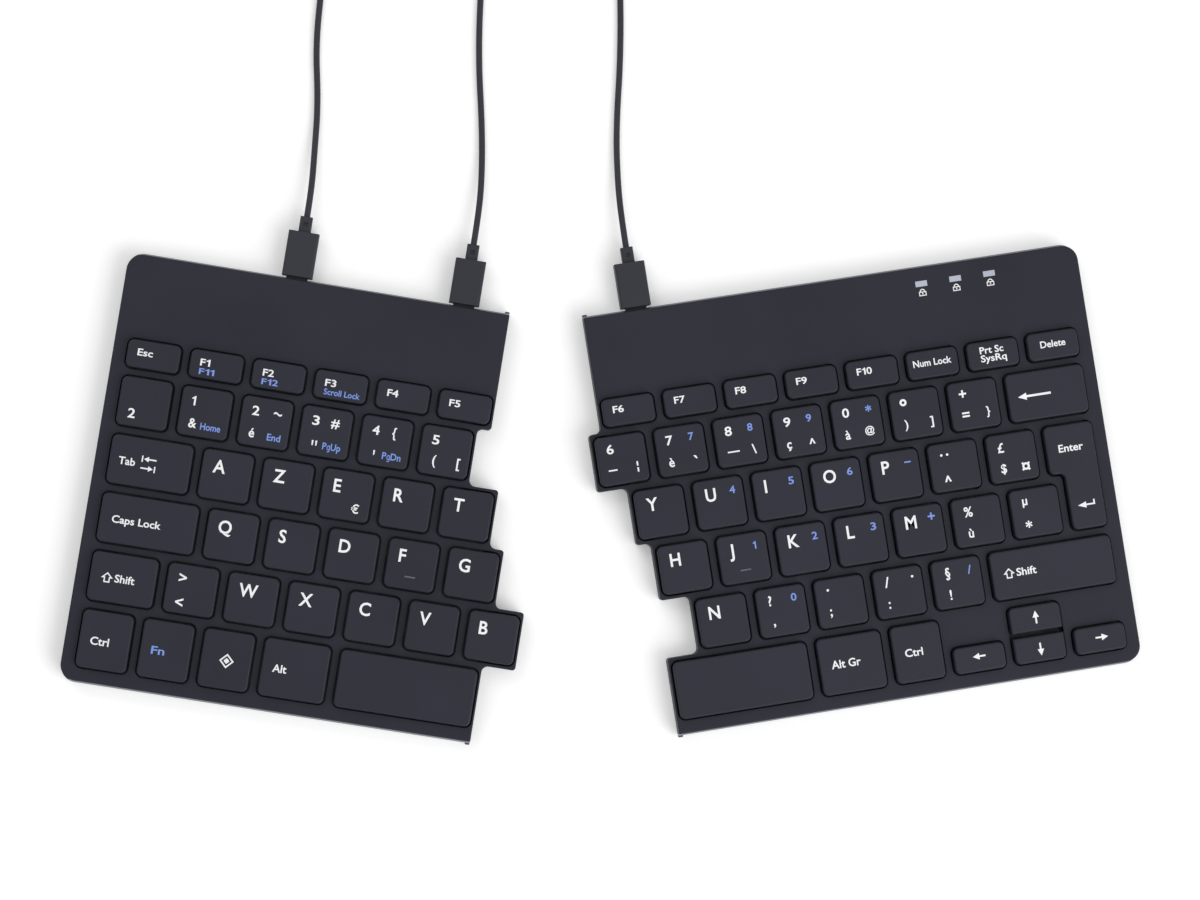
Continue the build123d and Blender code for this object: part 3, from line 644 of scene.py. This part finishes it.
def two_dots():
    """Two dots side by side, an accent."""
    return [moved(dot()[0], x, 0) for x in (-0.95, 0.95)]


def dash(length):
    return [box_outline(0, 0, length, 0.45)]


def ticks(count):
    """Straight quote marks: one upright bar or two, tapering downwards."""
    bar = [(-0.24, 0.65), (0.24, 0.65), (0.15, -0.65), (-0.15, -0.65)]
    return [moved(bar, (i - (count - 1) / 2) * 0.95, 0) for i in range(count)]


def broken_bar():
    return [box_outline(0, y, 0.5, 1.35) for y in (-0.95, 0.95)]


def small_g():
    """The letter g with one bowl and a hook, for capitals as high as one unit."""
    wide, tall, inner_wide, inner_tall = 0.26, 0.36, 0.14, 0.24
    meeting = math.degrees(math.acos(inner_wide / wide))
    right = wide + inner_wide
    stem = wide - inner_wide
    bowl = [(x * wide + wide, y * tall + 0.33) for x, y in arc(1.0, -meeting, meeting - 360, 20)]
    hole = [(x * inner_wide + wide, y * inner_tall + 0.33) for x, y in arc(1.0, 0, 345, 20)]
    hook_middle = (right + stem - wide, -0.06)
    hook = moved(arc(wide, 0, -145) + arc(wide - stem, -145, 0), *hook_middle)
    return [[(right, 0.68), (right + stem, 0.68)] + hook + bowl, hole]


def figure_one():
    """The figure 1, as high as one unit, with its flag at the left."""
    stem, width, flag = 0.2, 0.43, 0.74
    left = width - stem
    points = [(left, 0.0), (width, 0.0), (width, 1.0), (width - 0.14, 1.0), (left - 0.05, 0.88)]
    return points + [(0.0, 0.8), (0.0, 0.66), (left, flag - 0.04)]


def tilde():
    """A wave, drawn as a band of even width."""
    steps = 12
    line = [(-1.3 + 2.6 * i / steps, 0.32 * math.sin(2 * math.pi * i / steps)) for i in range(steps + 1)]
    band = 0.27
    return [moved(line, 0, band) + [(x, y - band) for x, y in reversed(line)]]


# Marks of every cap, row by row, in reading order. A shape that is no text is a list of
# outlines, where an outline inside another one is a hole.
CAP_MARKS = {
    "left_function_keys": [
        [name_mark("Esc", 4.8)],
        [name_mark("F1", 3.1), second_name("F11", 4.8)],
        [name_mark("F2", 3.5), second_name("F12", 5.2)],
        [name_mark("F3", 3.5), second_name("Scroll Lock", 11.4)],
        [name_mark("F4", 3.5)],
        [name_mark("F5", 3.5)],
    ],
    "left_number_keys": [
        [word("2", 3.3, 13.0, 3.0, 2.25)],
        [upper("1"), lower("&"), word("Home", 7.1, 13.2, 2.2, 6.3, blue=True)],
        [figure("2"), sign(tilde(), 11.35, 4.6, 2.6), lower("é"),
         word("End", 9.1, 13.2, 2.2, 4.2, blue=True)],
        [figure("3"), word("#", 9.2, 6.0, 2.95, 2.7), sign(ticks(2), 4.95, 11.6, 1.75),
         word("PgUp", 7.6, 13.2, 2.2, 5.7, blue=True)],
        [figure("4"), word("{", 9.6, 6.0, 2.95), sign(ticks(1), 4.85, 11.6, 1.5),
         word("PgDn", 7.5, 13.2, 2.2, 5.9, blue=True)],
        [figure("5"), word("(", 4.3, 12.35, 3.0), word("[", 12.0, 12.3, 3.0)],
    ],
    "left_tab_key": [[word("Tab", 2.9, 9.3, 2.4, 5.15), sign(tab_arrows(), 12.2, 8.05, 4.9)]],
    "left_upper_letter_keys": [
        *letters("AZ"),
        [letter("E"), sign("€", 11.2, 11.6, 3.0)],
        *letters("RT"),
    ],
    "left_caps_lock_key": [[word("Caps Lock", 3.8, 9.2, 2.35, 15.3)]],
    "left_home_letter_keys": letters("QSDFG"),
    "left_shift_key": [[sign(shift_arrow(), 5.3, 7.9, 3.7), word("Shift", 7.7, 9.1, 2.45, 6.2)]],
    "left_lower_letter_keys": [
        [sign(">", 4.8, 4.35, 2.6), sign("<", 4.8, 12.05, 2.6)],
        *letters("WXCVB"),
    ],
    "left_ctrl_key": [[word("Ctrl", 3.4, 10.8, 2.5, 5.8)]],
    "left_fn_key": [[word("Fn", 3.4, 10.8, 2.5, 4.2, blue=True)]],
    "left_meta_key": [[sign(meta_sign(), 8.0, 9.45, 4.6)]],
    "left_alt_key": [[word("Alt", 3.45, 10.55, 2.5, 4.4)]],
    "right_function_keys": [
        *[[name_mark(name, 3.5)] for name in ("F6", "F7", "F8", "F9")],
        [name_mark("F10", 4.9)],
        [word("Num Lock", 1.8, 5.4, 2.2, 12.4)],
        [word("Prt Sc", 4.0, 4.3, 2.2, 7.7), word("SysRq", 4.0, 6.95, 2.2, 8.4)],
        [word("Delete", 4.0, 5.4, 2.2, 8.2)],
    ],
    "right_number_keys": [
        [figure("6"), sign(dash(2.8), 4.4, 11.2, 2.8), sign(broken_bar(), 12.35, 11.1, 3.3)],
        [figure("7"), word("7", 10.6, 5.4, 2.4, 1.7, blue=True), lower("è"), sign("`", 11.9, 10.9, 1.3)],
        [figure("8"), word("8", 10.6, 5.4, 2.4, 1.7, blue=True), sign(dash(3.85), 5.2, 11.2, 3.85),
         sign("\\", 11.8, 11.2, 3.1)],
        [figure("9"), word("9", 10.6, 5.4, 2.4, 1.7, blue=True), lower("ç"), sign("^", 11.5, 11.65, 2.0)],
        [figure("0"), sign("*", 11.85, 4.1, 2.2, blue=True), lower("à"), sign("@", 11.3, 11.2, 3.1)],
        [sign("°", 4.2, 4.05, 2.3), sign(")", 4.2, 11.4, 3.6), sign("]", 12.5, 11.4, 3.6)],
        [sign("+", 4.55, 4.2, 2.4), sign("=", 4.65, 10.9, 2.4), sign("}", 11.95, 11.0, 3.6)],
    ],
    "right_backspace_key": [[sign(long_arrow(), 8.5, 8.05, 10.75)]],
    "right_upper_letter_keys": [
        [letter("Y")],
        pad_letter("U", "4"),
        pad_letter("I", "5"),
        pad_letter("O", "6"),
        [letter("P"), sign(dash(2.1), 12.0, 4.45, 2.1, blue=True)],
        [sign(two_dots(), 5.05, 4.1, 2.7), sign("^", 5.1, 11.75, 2.2)],
        [word("£", 3.4, 6.25, 3.1), word("$", 3.5, 12.8, 2.9), sign("¤", 11.6, 11.6, 2.8)],
    ],
    "right_enter_key": [[word("Enter", 3.85, 9.1, 2.45, 8.0), sign(return_arrow(), 10.0, 26.5, 5.6)]],
    "right_home_letter_keys": [
        [letter("H")],
        pad_letter("J", "1"),
        pad_letter("K", "2"),
        pad_letter("L", "3"),
        [letter("M"), sign("+", 12.1, 4.2, 2.3, blue=True)],
        [word("%", 3.7, 6.35, 3.2), word("ù", 4.2, 13.0, 3.0)],
        [word("µ", 3.8, 5.5, 3.0), sign("*", 4.85, 11.65, 2.4)],
    ],
    "right_lower_letter_keys": [
        [letter("N")],
        [word("?", 3.8, 6.0, 3.2), word(",", 4.4, 12.4, 3.2), word("0", 11.1, 5.4, 2.4, 1.8, blue=True)],
        [sign(dot(), 4.1, 3.9, 0.8), word(";", 3.8, 12.2, 3.2)],
        [sign("/", 4.2, 4.4, 3.4), sign(dot(), 12.5, 3.7, 0.8), word(":", 3.7, 12.8, 3.2)],
        [sign("§", 4.9, 4.8, 4.0), word("!", 4.6, 13.1, 3.2), sign("/", 12.0, 4.4, 2.8, blue=True)],
    ],
    "right_shift_key": [[sign(shift_arrow(), 5.5, 7.65, 3.7), word("Shift", 7.9, 8.9, 2.45, 6.5)]],
    "right_alt_gr_key": [[word("Alt Gr", 3.7, 10.4, 2.6, 9.4)]],
    "right_ctrl_key": [[word("Ctrl", 3.6, 10.4, 2.5, 5.8)]],
    "right_arrow_left_key": [[sign(short_arrow(0), 8.0, 3.9, 4.1)]],
    "right_arrow_up_key": [[sign(short_arrow(1), 8.3, 4.3, 4.1)]],
    "right_arrow_right_key": [[sign(short_arrow(2), 8.7, 4.1, 4.1)]],
    "right_arrow_down_key": [[sign(short_arrow(3), 8.3, 4.8, 4.1)]],
}

# How far each half's print lies from the places above, rightwards and forwards
PRINT_SHIFT = {1: (0.05, -0.15), -1: (0.1, -0.4)}

# Where the padlocks stand: their distance in front of the windows' middles
PADLOCK_FORWARD = 2.8
PADLOCK_HEIGHT = 2.4
TEXT_SQUEEZE = 0.93

# Room before and after a figure 1 or a g, as a share of the letter size
LETTER_GAP = 0.07


def cap_corners(node):
    """Back left corner of each cap or window of a node, lying square."""
    turn = upright_turn(node_side(node))
    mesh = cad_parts[node].data
    places = [turn @ vertex.co for vertex in mesh.vertices]
    spans = sorted(
        (min(places[i].x for i in face.vertices), max(places[i].x for i in face.vertices))
        for face in mesh.polygons
    )
    starts = [spans[0][0]]
    reach = spans[0][1]
    for low, high in spans:
        if low > reach:
            starts.append(low)
        reach = max(reach, high)
    back = max(place.y for place in places)
    return [(start, back) for start in starts]


def cap_top():
    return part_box("left_tab_key")[1][2]


def outline_object(outlines):
    """A flat curve of closed outlines, filled, as a mesh."""
    curve = bpy.data.curves.new("outlines", "CURVE")
    curve.dimensions = "2D"
    curve.fill_mode = "BOTH"
    curve.extrude = 0.5
    for points in outlines:
        spline = curve.splines.new("POLY")
        spline.points.add(len(points) - 1)
        for target, (x, y) in zip(spline.points, points):
            target.co = (x, y, 0.0, 1.0)
        spline.use_cyclic_u = True
    piece = bpy.data.objects.new("outlines", curve)
    bpy.context.collection.objects.link(piece)
    return piece


def text_object(text, bolder):
    bpy.ops.object.text_add(location=(0, 0, 0))
    piece = bpy.context.object
    piece.data.body = text
    piece.data.resolution_u = 3
    piece.data.offset = bolder
    piece.data.extrude = 0.5
    piece.data.fill_mode = "BOTH"
    return piece


def as_mesh(piece):
    deselect()
    piece.select_set(True)
    bpy.context.view_layer.objects.active = piece
    bpy.ops.object.convert(target="MESH")
    return bpy.context.object


def flat_box(piece):
    """Lowest and highest x, then lowest and highest y."""
    xs = [vertex.co.x for vertex in piece.data.vertices]
    ys = [vertex.co.y for vertex in piece.data.vertices]
    return min(xs), max(xs), min(ys), max(ys)


def capital_box(bolder):
    """Lowest line and height of a capital letter in text of size one."""
    piece = as_mesh(text_object("H", bolder))
    low, high = flat_box(piece)[2:]
    bpy.data.objects.remove(piece)
    return low, high - low


def lettering(text, bolder, base, capital):
    """Text as one flat mesh, with a figure 1 and a letter g of the legends' own."""
    own = {"1": [figure_one()], "g": small_g()}
    runs = [run for run in re.split("([1g])", text) if run]
    pieces = []
    reach = 0.0
    for run in runs:
        piece = as_mesh(outline_object(own[run]) if run in own else text_object(run, bolder))
        if run in own:
            as_capital = Matrix.Diagonal((capital, capital, 1.0, 1.0))
            piece.data.transform(Matrix.Translation((0.0, base, 0.0)) @ as_capital)
        low, high = flat_box(piece)[:2]
        piece.data.transform(Matrix.Translation((reach - low, 0.0, 0.0)))
        reach += high - low + LETTER_GAP
        pieces.append(piece)
    deselect()
    for piece in pieces:
        piece.select_set(True)
    bpy.context.view_layer.objects.active = pieces[0]
    if len(pieces) > 1:
        bpy.ops.object.join()
    return bpy.context.object


def printed(mark, corner, turn, level, look, base, capital):
    """One mark as a thin slab of ink at its place."""
    if isinstance(mark.shape, str):
        piece = lettering(mark.shape, look.bolder, base, capital)
    else:
        piece = as_mesh(outline_object(mark.shape))
    low_x, high_x, low_y, high_y = flat_box(piece)
    if mark.centred:
        scale_x = scale_y = mark.height * MM / max(high_x - low_x, high_y - low_y)
        origin = ((low_x + high_x) / 2, (low_y + high_y) / 2)
    else:
        scale_y = mark.height * MM / capital
        scale_x = mark.width * MM / (high_x - low_x) if mark.width else scale_y * TEXT_SQUEEZE
        origin = (low_x, base)
    scale = Matrix.Diagonal((scale_x, scale_y, look.thickness, 1.0))
    place = Matrix.Translation((
        corner[0] + mark.x * MM, corner[1] - mark.y * MM, level + look.thickness / 2 - look.sunk
    ))
    piece.data.transform(turn @ place @ scale @ Matrix.Translation((-origin[0], -origin[1], 0.0)))
    return piece


def joined(pieces, name, material, body):
    """Joins printed marks into one piece that rides on a body."""
    deselect()
    for piece in pieces:
        piece.select_set(True)
    bpy.context.view_layer.objects.active = pieces[0]
    if len(pieces) > 1:
        bpy.ops.object.join()
    piece = bpy.context.object
    bpy.ops.object.mode_set(mode="EDIT")
    bpy.ops.mesh.select_all(action="SELECT")
    bpy.ops.mesh.remove_doubles(threshold=MERGE)
    bpy.ops.mesh.normals_make_consistent(inside=False)
    bpy.ops.object.mode_set(mode="OBJECT")
    piece.name = name
    piece.data.materials.clear()
    piece.data.materials.append(material)
    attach(piece, body)
    return piece


class KEYBOARD_OT_legends(bpy.types.Operator):
    """Prints the legends on every cap"""

    bl_idname = "keyboard.legends"
    bl_label = "Print the legends"

    def execute(self, context):
        look = context.scene.keyboard_look.legend
        inks = {False: ink("white ink", look.white), True: ink("blue ink", look.blue)}
        base, capital = capital_box(look.bolder)
        level = cap_top()
        for node, rows in CAP_MARKS.items():
            corners = cap_corners(node)
            if len(corners) != len(rows):
                raise RuntimeError(f"{node} has {len(corners)} caps and {len(rows)} sets of marks")
            side = node_side(node)
            turn = upright_turn(-side)
            right, forward = (shift * MM for shift in PRINT_SHIFT[side])
            corners = [(start + right, back - forward) for start, back in corners]
            for blue, material in inks.items():
                pieces = [
                    printed(mark, corner, turn, level, look, base, capital)
                    for corner, marks in zip(corners, rows) for mark in marks if mark.blue == blue
                ]
                if pieces:
                    name = f"{node}_{'second_' if blue else ''}legends"
                    joined(pieces, name, material, node)
        return {"FINISHED"}


class KEYBOARD_OT_padlocks(bpy.types.Operator):
    """Prints a small padlock in front of each status window"""

    bl_idname = "keyboard.padlocks"
    bl_label = "Print the padlocks"

    def execute(self, context):
        look = context.scene.keyboard_look.legend
        node = "right_status_windows"
        corners = cap_corners(node)
        turn = upright_turn(-node_side(node))
        width = window_width(node, corners)
        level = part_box("right_top_cover")[1][2]
        forward = window_middle(node) - PADLOCK_FORWARD * MM
        pieces = []
        for start, _ in corners:
            mark = sign(padlock(), 0.0, 0.0, PADLOCK_HEIGHT)
            pieces.append(printed(mark, (start + width / 2, forward), turn, level, look, 0.0, 1.0))
        joined(pieces, "status_padlocks", ink("padlock ink", look.white), "right_half")
        return {"FINISHED"}


def window_width(node, corners):
    """Width of one window's flange, from where the last one starts to the row's end."""
    turn = upright_turn(node_side(node))
    reach = max((turn @ place).x for place in node_places(node))
    return reach - corners[-1][0]


def window_middle(node):
    turn = upright_turn(node_side(node))
    places = [(turn @ place).y for place in node_places(node)]
    return (max(places) + min(places)) / 2


def boot_end(node):
    """The end of a plug's boot and the way the cord leaves it."""
    side = SIDES["right"] if node == RIGHT_PLUG else SIDES["left"]
    way = upright_turn(-side) @ Vector((0.0, 1.0, 0.0))
    places = node_places(node)
    reach = max(place.dot(way) for place in places)
    rim = [place for place in places if place.dot(way) > reach - END_PLAY * MM]
    low = Vector([min(place[i] for place in rim) for i in range(3)])
    high = Vector([max(place[i] for place in rim) for i in range(3)])
    return (low + high) / 2, way


def spots(start, offsets):
    return [Vector((start.x + x * MM, start.y + y * MM, z * MM)) for x, y, z in offsets]


def coil_stations():
    """Radius and height of the coil's line at each half turn."""
    radius, height, inwards = COIL_RADIUS, COIL_START_HEIGHT, -1
    stations = [(radius, height)]
    for layer, count in enumerate(COIL_HALF_TURNS):
        for _ in range(count):
            radius += inwards * COIL_TURN_PITCH / 2
            stations.append((radius, height))
        if layer < len(COIL_HALF_TURNS) - 1:
            inwards = -inwards
            height += COIL_LAYER_PITCH
            stations.append((radius, height))
    return stations


def coil_points(centre):
    """Points round which the coil's turns go, a little outside its line."""
    stations = coil_stations()
    outside = 1 / math.cos(math.pi / (2 * COIL_STEPS))
    points = []
    for i, (first, second) in enumerate(zip(stations, stations[1:])):
        for step in range(COIL_STEPS):
            share = step / COIL_STEPS
            angle = math.pi * (i + share)
            radius = (first[0] + (second[0] - first[0]) * share) * outside * MM
            height = (first[1] + (second[1] - first[1]) * share) * MM
            points.append(centre + Vector((radius * math.cos(angle), radius * math.sin(angle), height)))
    return points


def host_points():
    """Control points of the host cord: lead, coil and tail."""
    start, way = boot_end(HOST_PLUG)
    x, y = HOST_COIL_START
    centre = Vector((start.x + (x - COIL_RADIUS) * MM, start.y + y * MM, 0.0))
    drift = COIL_TURN_PITCH / (2 * math.pi * COIL_RADIUS)
    entering = centre + Vector((COIL_RADIUS * MM, 0.0, COIL_START_HEIGHT * MM))
    before = Vector((drift, -1.0, 0.0)).normalized() * (COIL_RUN + COIL_REACH) * MM
    stations = coil_stations()
    last_radius, last_height = stations[-1]
    leaving = centre + Vector((last_radius, COIL_REACH, last_height)) * MM
    points = [start, start + way * EXIT_RUN * MM] + spots(start, HOST_ROUTE)
    points += [entering + before, entering + before * NEAR_SHARE]
    points += coil_points(centre)
    points += [leaving, leaving + Vector((0.0, COIL_RUN * MM, 0.0))]
    return points + spots(leaving, COIL_TAIL)


def link_points():
    """Control points of the link cord: out of one plug, round a loop and into the other."""
    start, way = boot_end(LEFT_PLUG)
    end, far_way = boot_end(RIGHT_PLUG)
    points = [start, start + way * EXIT_RUN * MM] + spots(start, LINK_LEFT_ROUTE)
    points += spots((start + end) / 2, LINK_LOOP_TOP)
    points += list(reversed(spots(end, LINK_RIGHT_ROUTE)))
    return points + [end + far_way * EXIT_RUN * MM, end]


def cord_curve(name, points, diameter, steps):
    """A round cord along a smooth line through a route's control points."""
    curve = bpy.data.curves.new(name, "CURVE")
    curve.dimensions = "3D"
    curve.resolution_u = steps
    curve.render_resolution_u = steps
    spline = curve.splines.new("NURBS")
    spline.points.add(len(points) - 1)
    for target, point in zip(spline.points, points):
        target.co = (*point, 1.0)
    spline.order_u = 3
    spline.use_endpoint_u = True
    piece = bpy.data.objects.new(name, curve)
    bpy.context.collection.objects.link(piece)
    line = bpy.data.meshes.new_from_object(piece)
    path = [vertex.co.copy() for vertex in line.vertices]
    bpy.data.meshes.remove(line)
    curve.bevel_depth = diameter / 2
    curve.bevel_resolution = 4
    curve.use_fill_caps = True
    return piece, path


def part_under(source, key_node):
    """The part of a node's mesh that lies under another node's caps."""
    turn = upright_turn(node_side(key_node))
    places = [turn @ place for place in node_places(key_node)]
    low, high = ([end(place[i] for place in places) for i in range(2)] for end in (min, max))
    mesh = bpy.data.meshes.new("under the caps")
    grid = bmesh.new()
    grid.from_mesh(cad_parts[source].data)
    away = []
    for face in grid.faces:
        middle = turn @ face.calc_center_median()
        if not all(low[i] < middle[i] < high[i] for i in range(2)):
            away.append(face)
    kept = len(grid.faces) - len(away)
    bmesh.ops.delete(grid, geom=away, context="FACES")
    bmesh.ops.remove_doubles(grid, verts=grid.verts, dist=MERGE)
    grid.to_mesh(mesh)
    grid.free()
    return mesh, kept


class KEYBOARD_OT_springs(bpy.types.Operator):
    """Splits the rubber domes and scissor links by key into pieces that ride on their half"""

    bl_idname = "keyboard.springs"
    bl_label = "Fold the domes and links"

    def execute(self, context):
        for half in SIDES:
            for source in (f"{half}_scissor_links", f"{half}_rubber_domes"):
                low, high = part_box(source)
                rise = high[2] - low[2]
                keep = 1 - (KEY_TRAVEL + FOLD_PLAY) * MM / rise
                kept = 0
                for key_node in sorted(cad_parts):
                    if re.fullmatch(f"{half}_.*_keys?", key_node):
                        kept += self.fold(half, source, key_node, low, keep)
                if kept != len(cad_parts[source].data.polygons):
                    raise RuntimeError(f"{source} isn't all under the caps")
        return {"FINISHED"}

    def fold(self, half, source, key_node, low, keep):
        """Makes the pieces under one node's caps, which ride on the half."""
        mesh, kept = part_under(source, key_node)
        piece = bpy.data.objects.new(f"{key_node}_{source.split('_')[-1]}", mesh)
        bpy.context.collection.objects.link(piece)
        deselect()
        piece.select_set(True)
        bpy.context.view_layer.objects.active = piece
        bpy.ops.object.shade_smooth_by_angle()
        mesh.materials.clear()
        mesh.materials.append(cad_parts[source].material_slots[0].material)
        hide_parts(source)
        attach(piece, f"{half}_half")
        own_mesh(piece)
        return kept


class KEYBOARD_OT_host_cord(bpy.types.Operator):
    """Lays the host cord with its put-away coil behind the left half"""

    bl_idname = "keyboard.host_cord"
    bl_label = "Lay the host cord"

    def execute(self, context):
        look = context.scene.keyboard_look.cord
        points = host_points()
        cord, _ = cord_curve("host_cord", points, look.diameter, 6)
        cord.data.materials.append(jacket("host cord jacket", look.jacket))
        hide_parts("host_cable", "host_cable_coil")
        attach(cord, "left_half")
        return {"FINISHED"}


class KEYBOARD_OT_link_cord(bpy.types.Operator):
    """Lays the short cord between the two halves, in one loop behind them"""

    bl_idname = "keyboard.link_cord"
    bl_label = "Lay the link cord"

    def execute(self, context):
        look = context.scene.keyboard_look.cord
        points = link_points()
        curve, path = cord_curve("link_cord", points, look.diameter, 12)
        cord = as_mesh(curve)
        bpy.ops.object.shade_smooth_by_angle()
        cord.data.materials.clear()
        cord.data.materials.append(jacket("link cord jacket", look.jacket))
        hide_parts("link_cable")
        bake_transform(cord)
        return {"FINISHED"}


class KEYBOARD_OT_camera(bpy.types.Operator):
    """Stands the camera where the photograph was taken"""

    bl_idname = "keyboard.camera"
    bl_label = "Stand the camera"

    def execute(self, context):
        look = context.scene.keyboard_look.camera
        deselect()
        bpy.ops.object.camera_add(location=look.place)
        camera = bpy.context.object
        camera.name = "view_camera"
        back = (Vector(look.place) - Vector(look.aim)).normalized()
        across = Vector((0.0, 1.0, 0.0)).cross(back).normalized()
        upward = back.cross(across)
        axes = Matrix((across, upward, back)).transposed() @ Matrix.Rotation(look.roll, 3, "Z")
        camera.rotation_euler = axes.to_euler()
        camera.data.sensor_width = 36.0
        camera.data.lens = look.focal
        camera.data.clip_end = 20.0
        context.scene.camera = camera
        return {"FINISHED"}


def soft_light(name, place, power, size):
    """A big square light that looks at the middle of the keyboard."""
    deselect()
    bpy.ops.object.light_add(type="AREA", location=place)
    light = bpy.context.object
    light.name = name
    light.data.energy = power
    light.data.size = size
    light.rotation_euler = (Vector(place) - Vector(LIGHT_AIM)).to_track_quat("Z", "Y").to_euler()


class KEYBOARD_OT_stage(bpy.types.Operator):
    """Lays the pale floor and hangs the soft lights"""

    bl_idname = "keyboard.stage"
    bl_label = "Set the stage"

    def execute(self, context):
        look = context.scene.keyboard_look.stage
        deselect()
        bpy.ops.mesh.primitive_plane_add(size=look.floor_size, location=(0, 0, 0))
        floor = bpy.context.object
        floor.name = "floor"
        wiring = Wiring("pale floor")
        clouds = wiring.noise(1.2, 2.0)
        tint = wiring.blend(clouds, shaded(look.floor, 0.99), look.floor)
        wiring.link(tint, wiring.shader.inputs["Base Color"])
        wiring.shader.inputs["Roughness"].default_value = 0.9
        wiring.shader.inputs["Specular IOR Level"].default_value = 0.1
        wiring.shader.inputs["Emission Color"].default_value = (1.0, 1.0, 1.0, 1.0)
        wiring.shader.inputs["Emission Strength"].default_value = look.glow
        floor.data.materials.append(wiring.material)
        soft_light("key_light", KEY_LIGHT_PLACE, look.key_power, KEY_LIGHT_SIZE)
        soft_light("fill_light", FILL_LIGHT_PLACE, look.fill_power, FILL_LIGHT_SIZE)
        world = bpy.data.worlds.new("soft sky")
        world.use_nodes = True
        sky = world.node_tree.nodes["Background"]
        sky.inputs["Color"].default_value = (1.0, 1.0, 1.0, 1.0)
        sky.inputs["Strength"].default_value = look.sky
        context.scene.world = world
        context.scene.view_settings.view_transform = "Standard"
        return {"FINISHED"}


OPERATORS = (
    KEYBOARD_OT_camera, KEYBOARD_OT_host_cord, KEYBOARD_OT_link_cord, KEYBOARD_OT_finishes,
    KEYBOARD_OT_springs, KEYBOARD_OT_legends, KEYBOARD_OT_padlocks, KEYBOARD_OT_stage,
)


class KEYBOARD_PT_dressing(bpy.types.Panel):
    """Steps that dress the keyboard"""

    bl_idname = "KEYBOARD_PT_dressing"
    bl_label = "Split Keyboard"
    bl_space_type = "VIEW_3D"
    bl_region_type = "UI"
    bl_category = "Keyboard"

    def draw(self, context):
        for operator in OPERATORS:
            self.layout.operator(operator.bl_idname)


CLASSES = (
    CameraLook, ShellLook, LegendLook, CordLook, StageLook, KeyboardLook, *OPERATORS, KEYBOARD_PT_dressing,
)


def register():
    for cls in CLASSES:
        bpy.utils.register_class(cls)
    bpy.types.Scene.keyboard_look = bpy.props.PointerProperty(type=KeyboardLook)


def unregister():
    del bpy.types.Scene.keyboard_look
    for cls in reversed(CLASSES):
        bpy.utils.unregister_class(cls)


def main():
    register()
    bpy.ops.keyboard.camera()
    bpy.ops.keyboard.host_cord()
    bpy.ops.keyboard.link_cord()
    bpy.ops.keyboard.finishes()
    bpy.ops.keyboard.springs()
    bpy.ops.keyboard.legends()
    bpy.ops.keyboard.padlocks()
    bpy.ops.keyboard.stage()


if __name__ == "__main__":
    main()
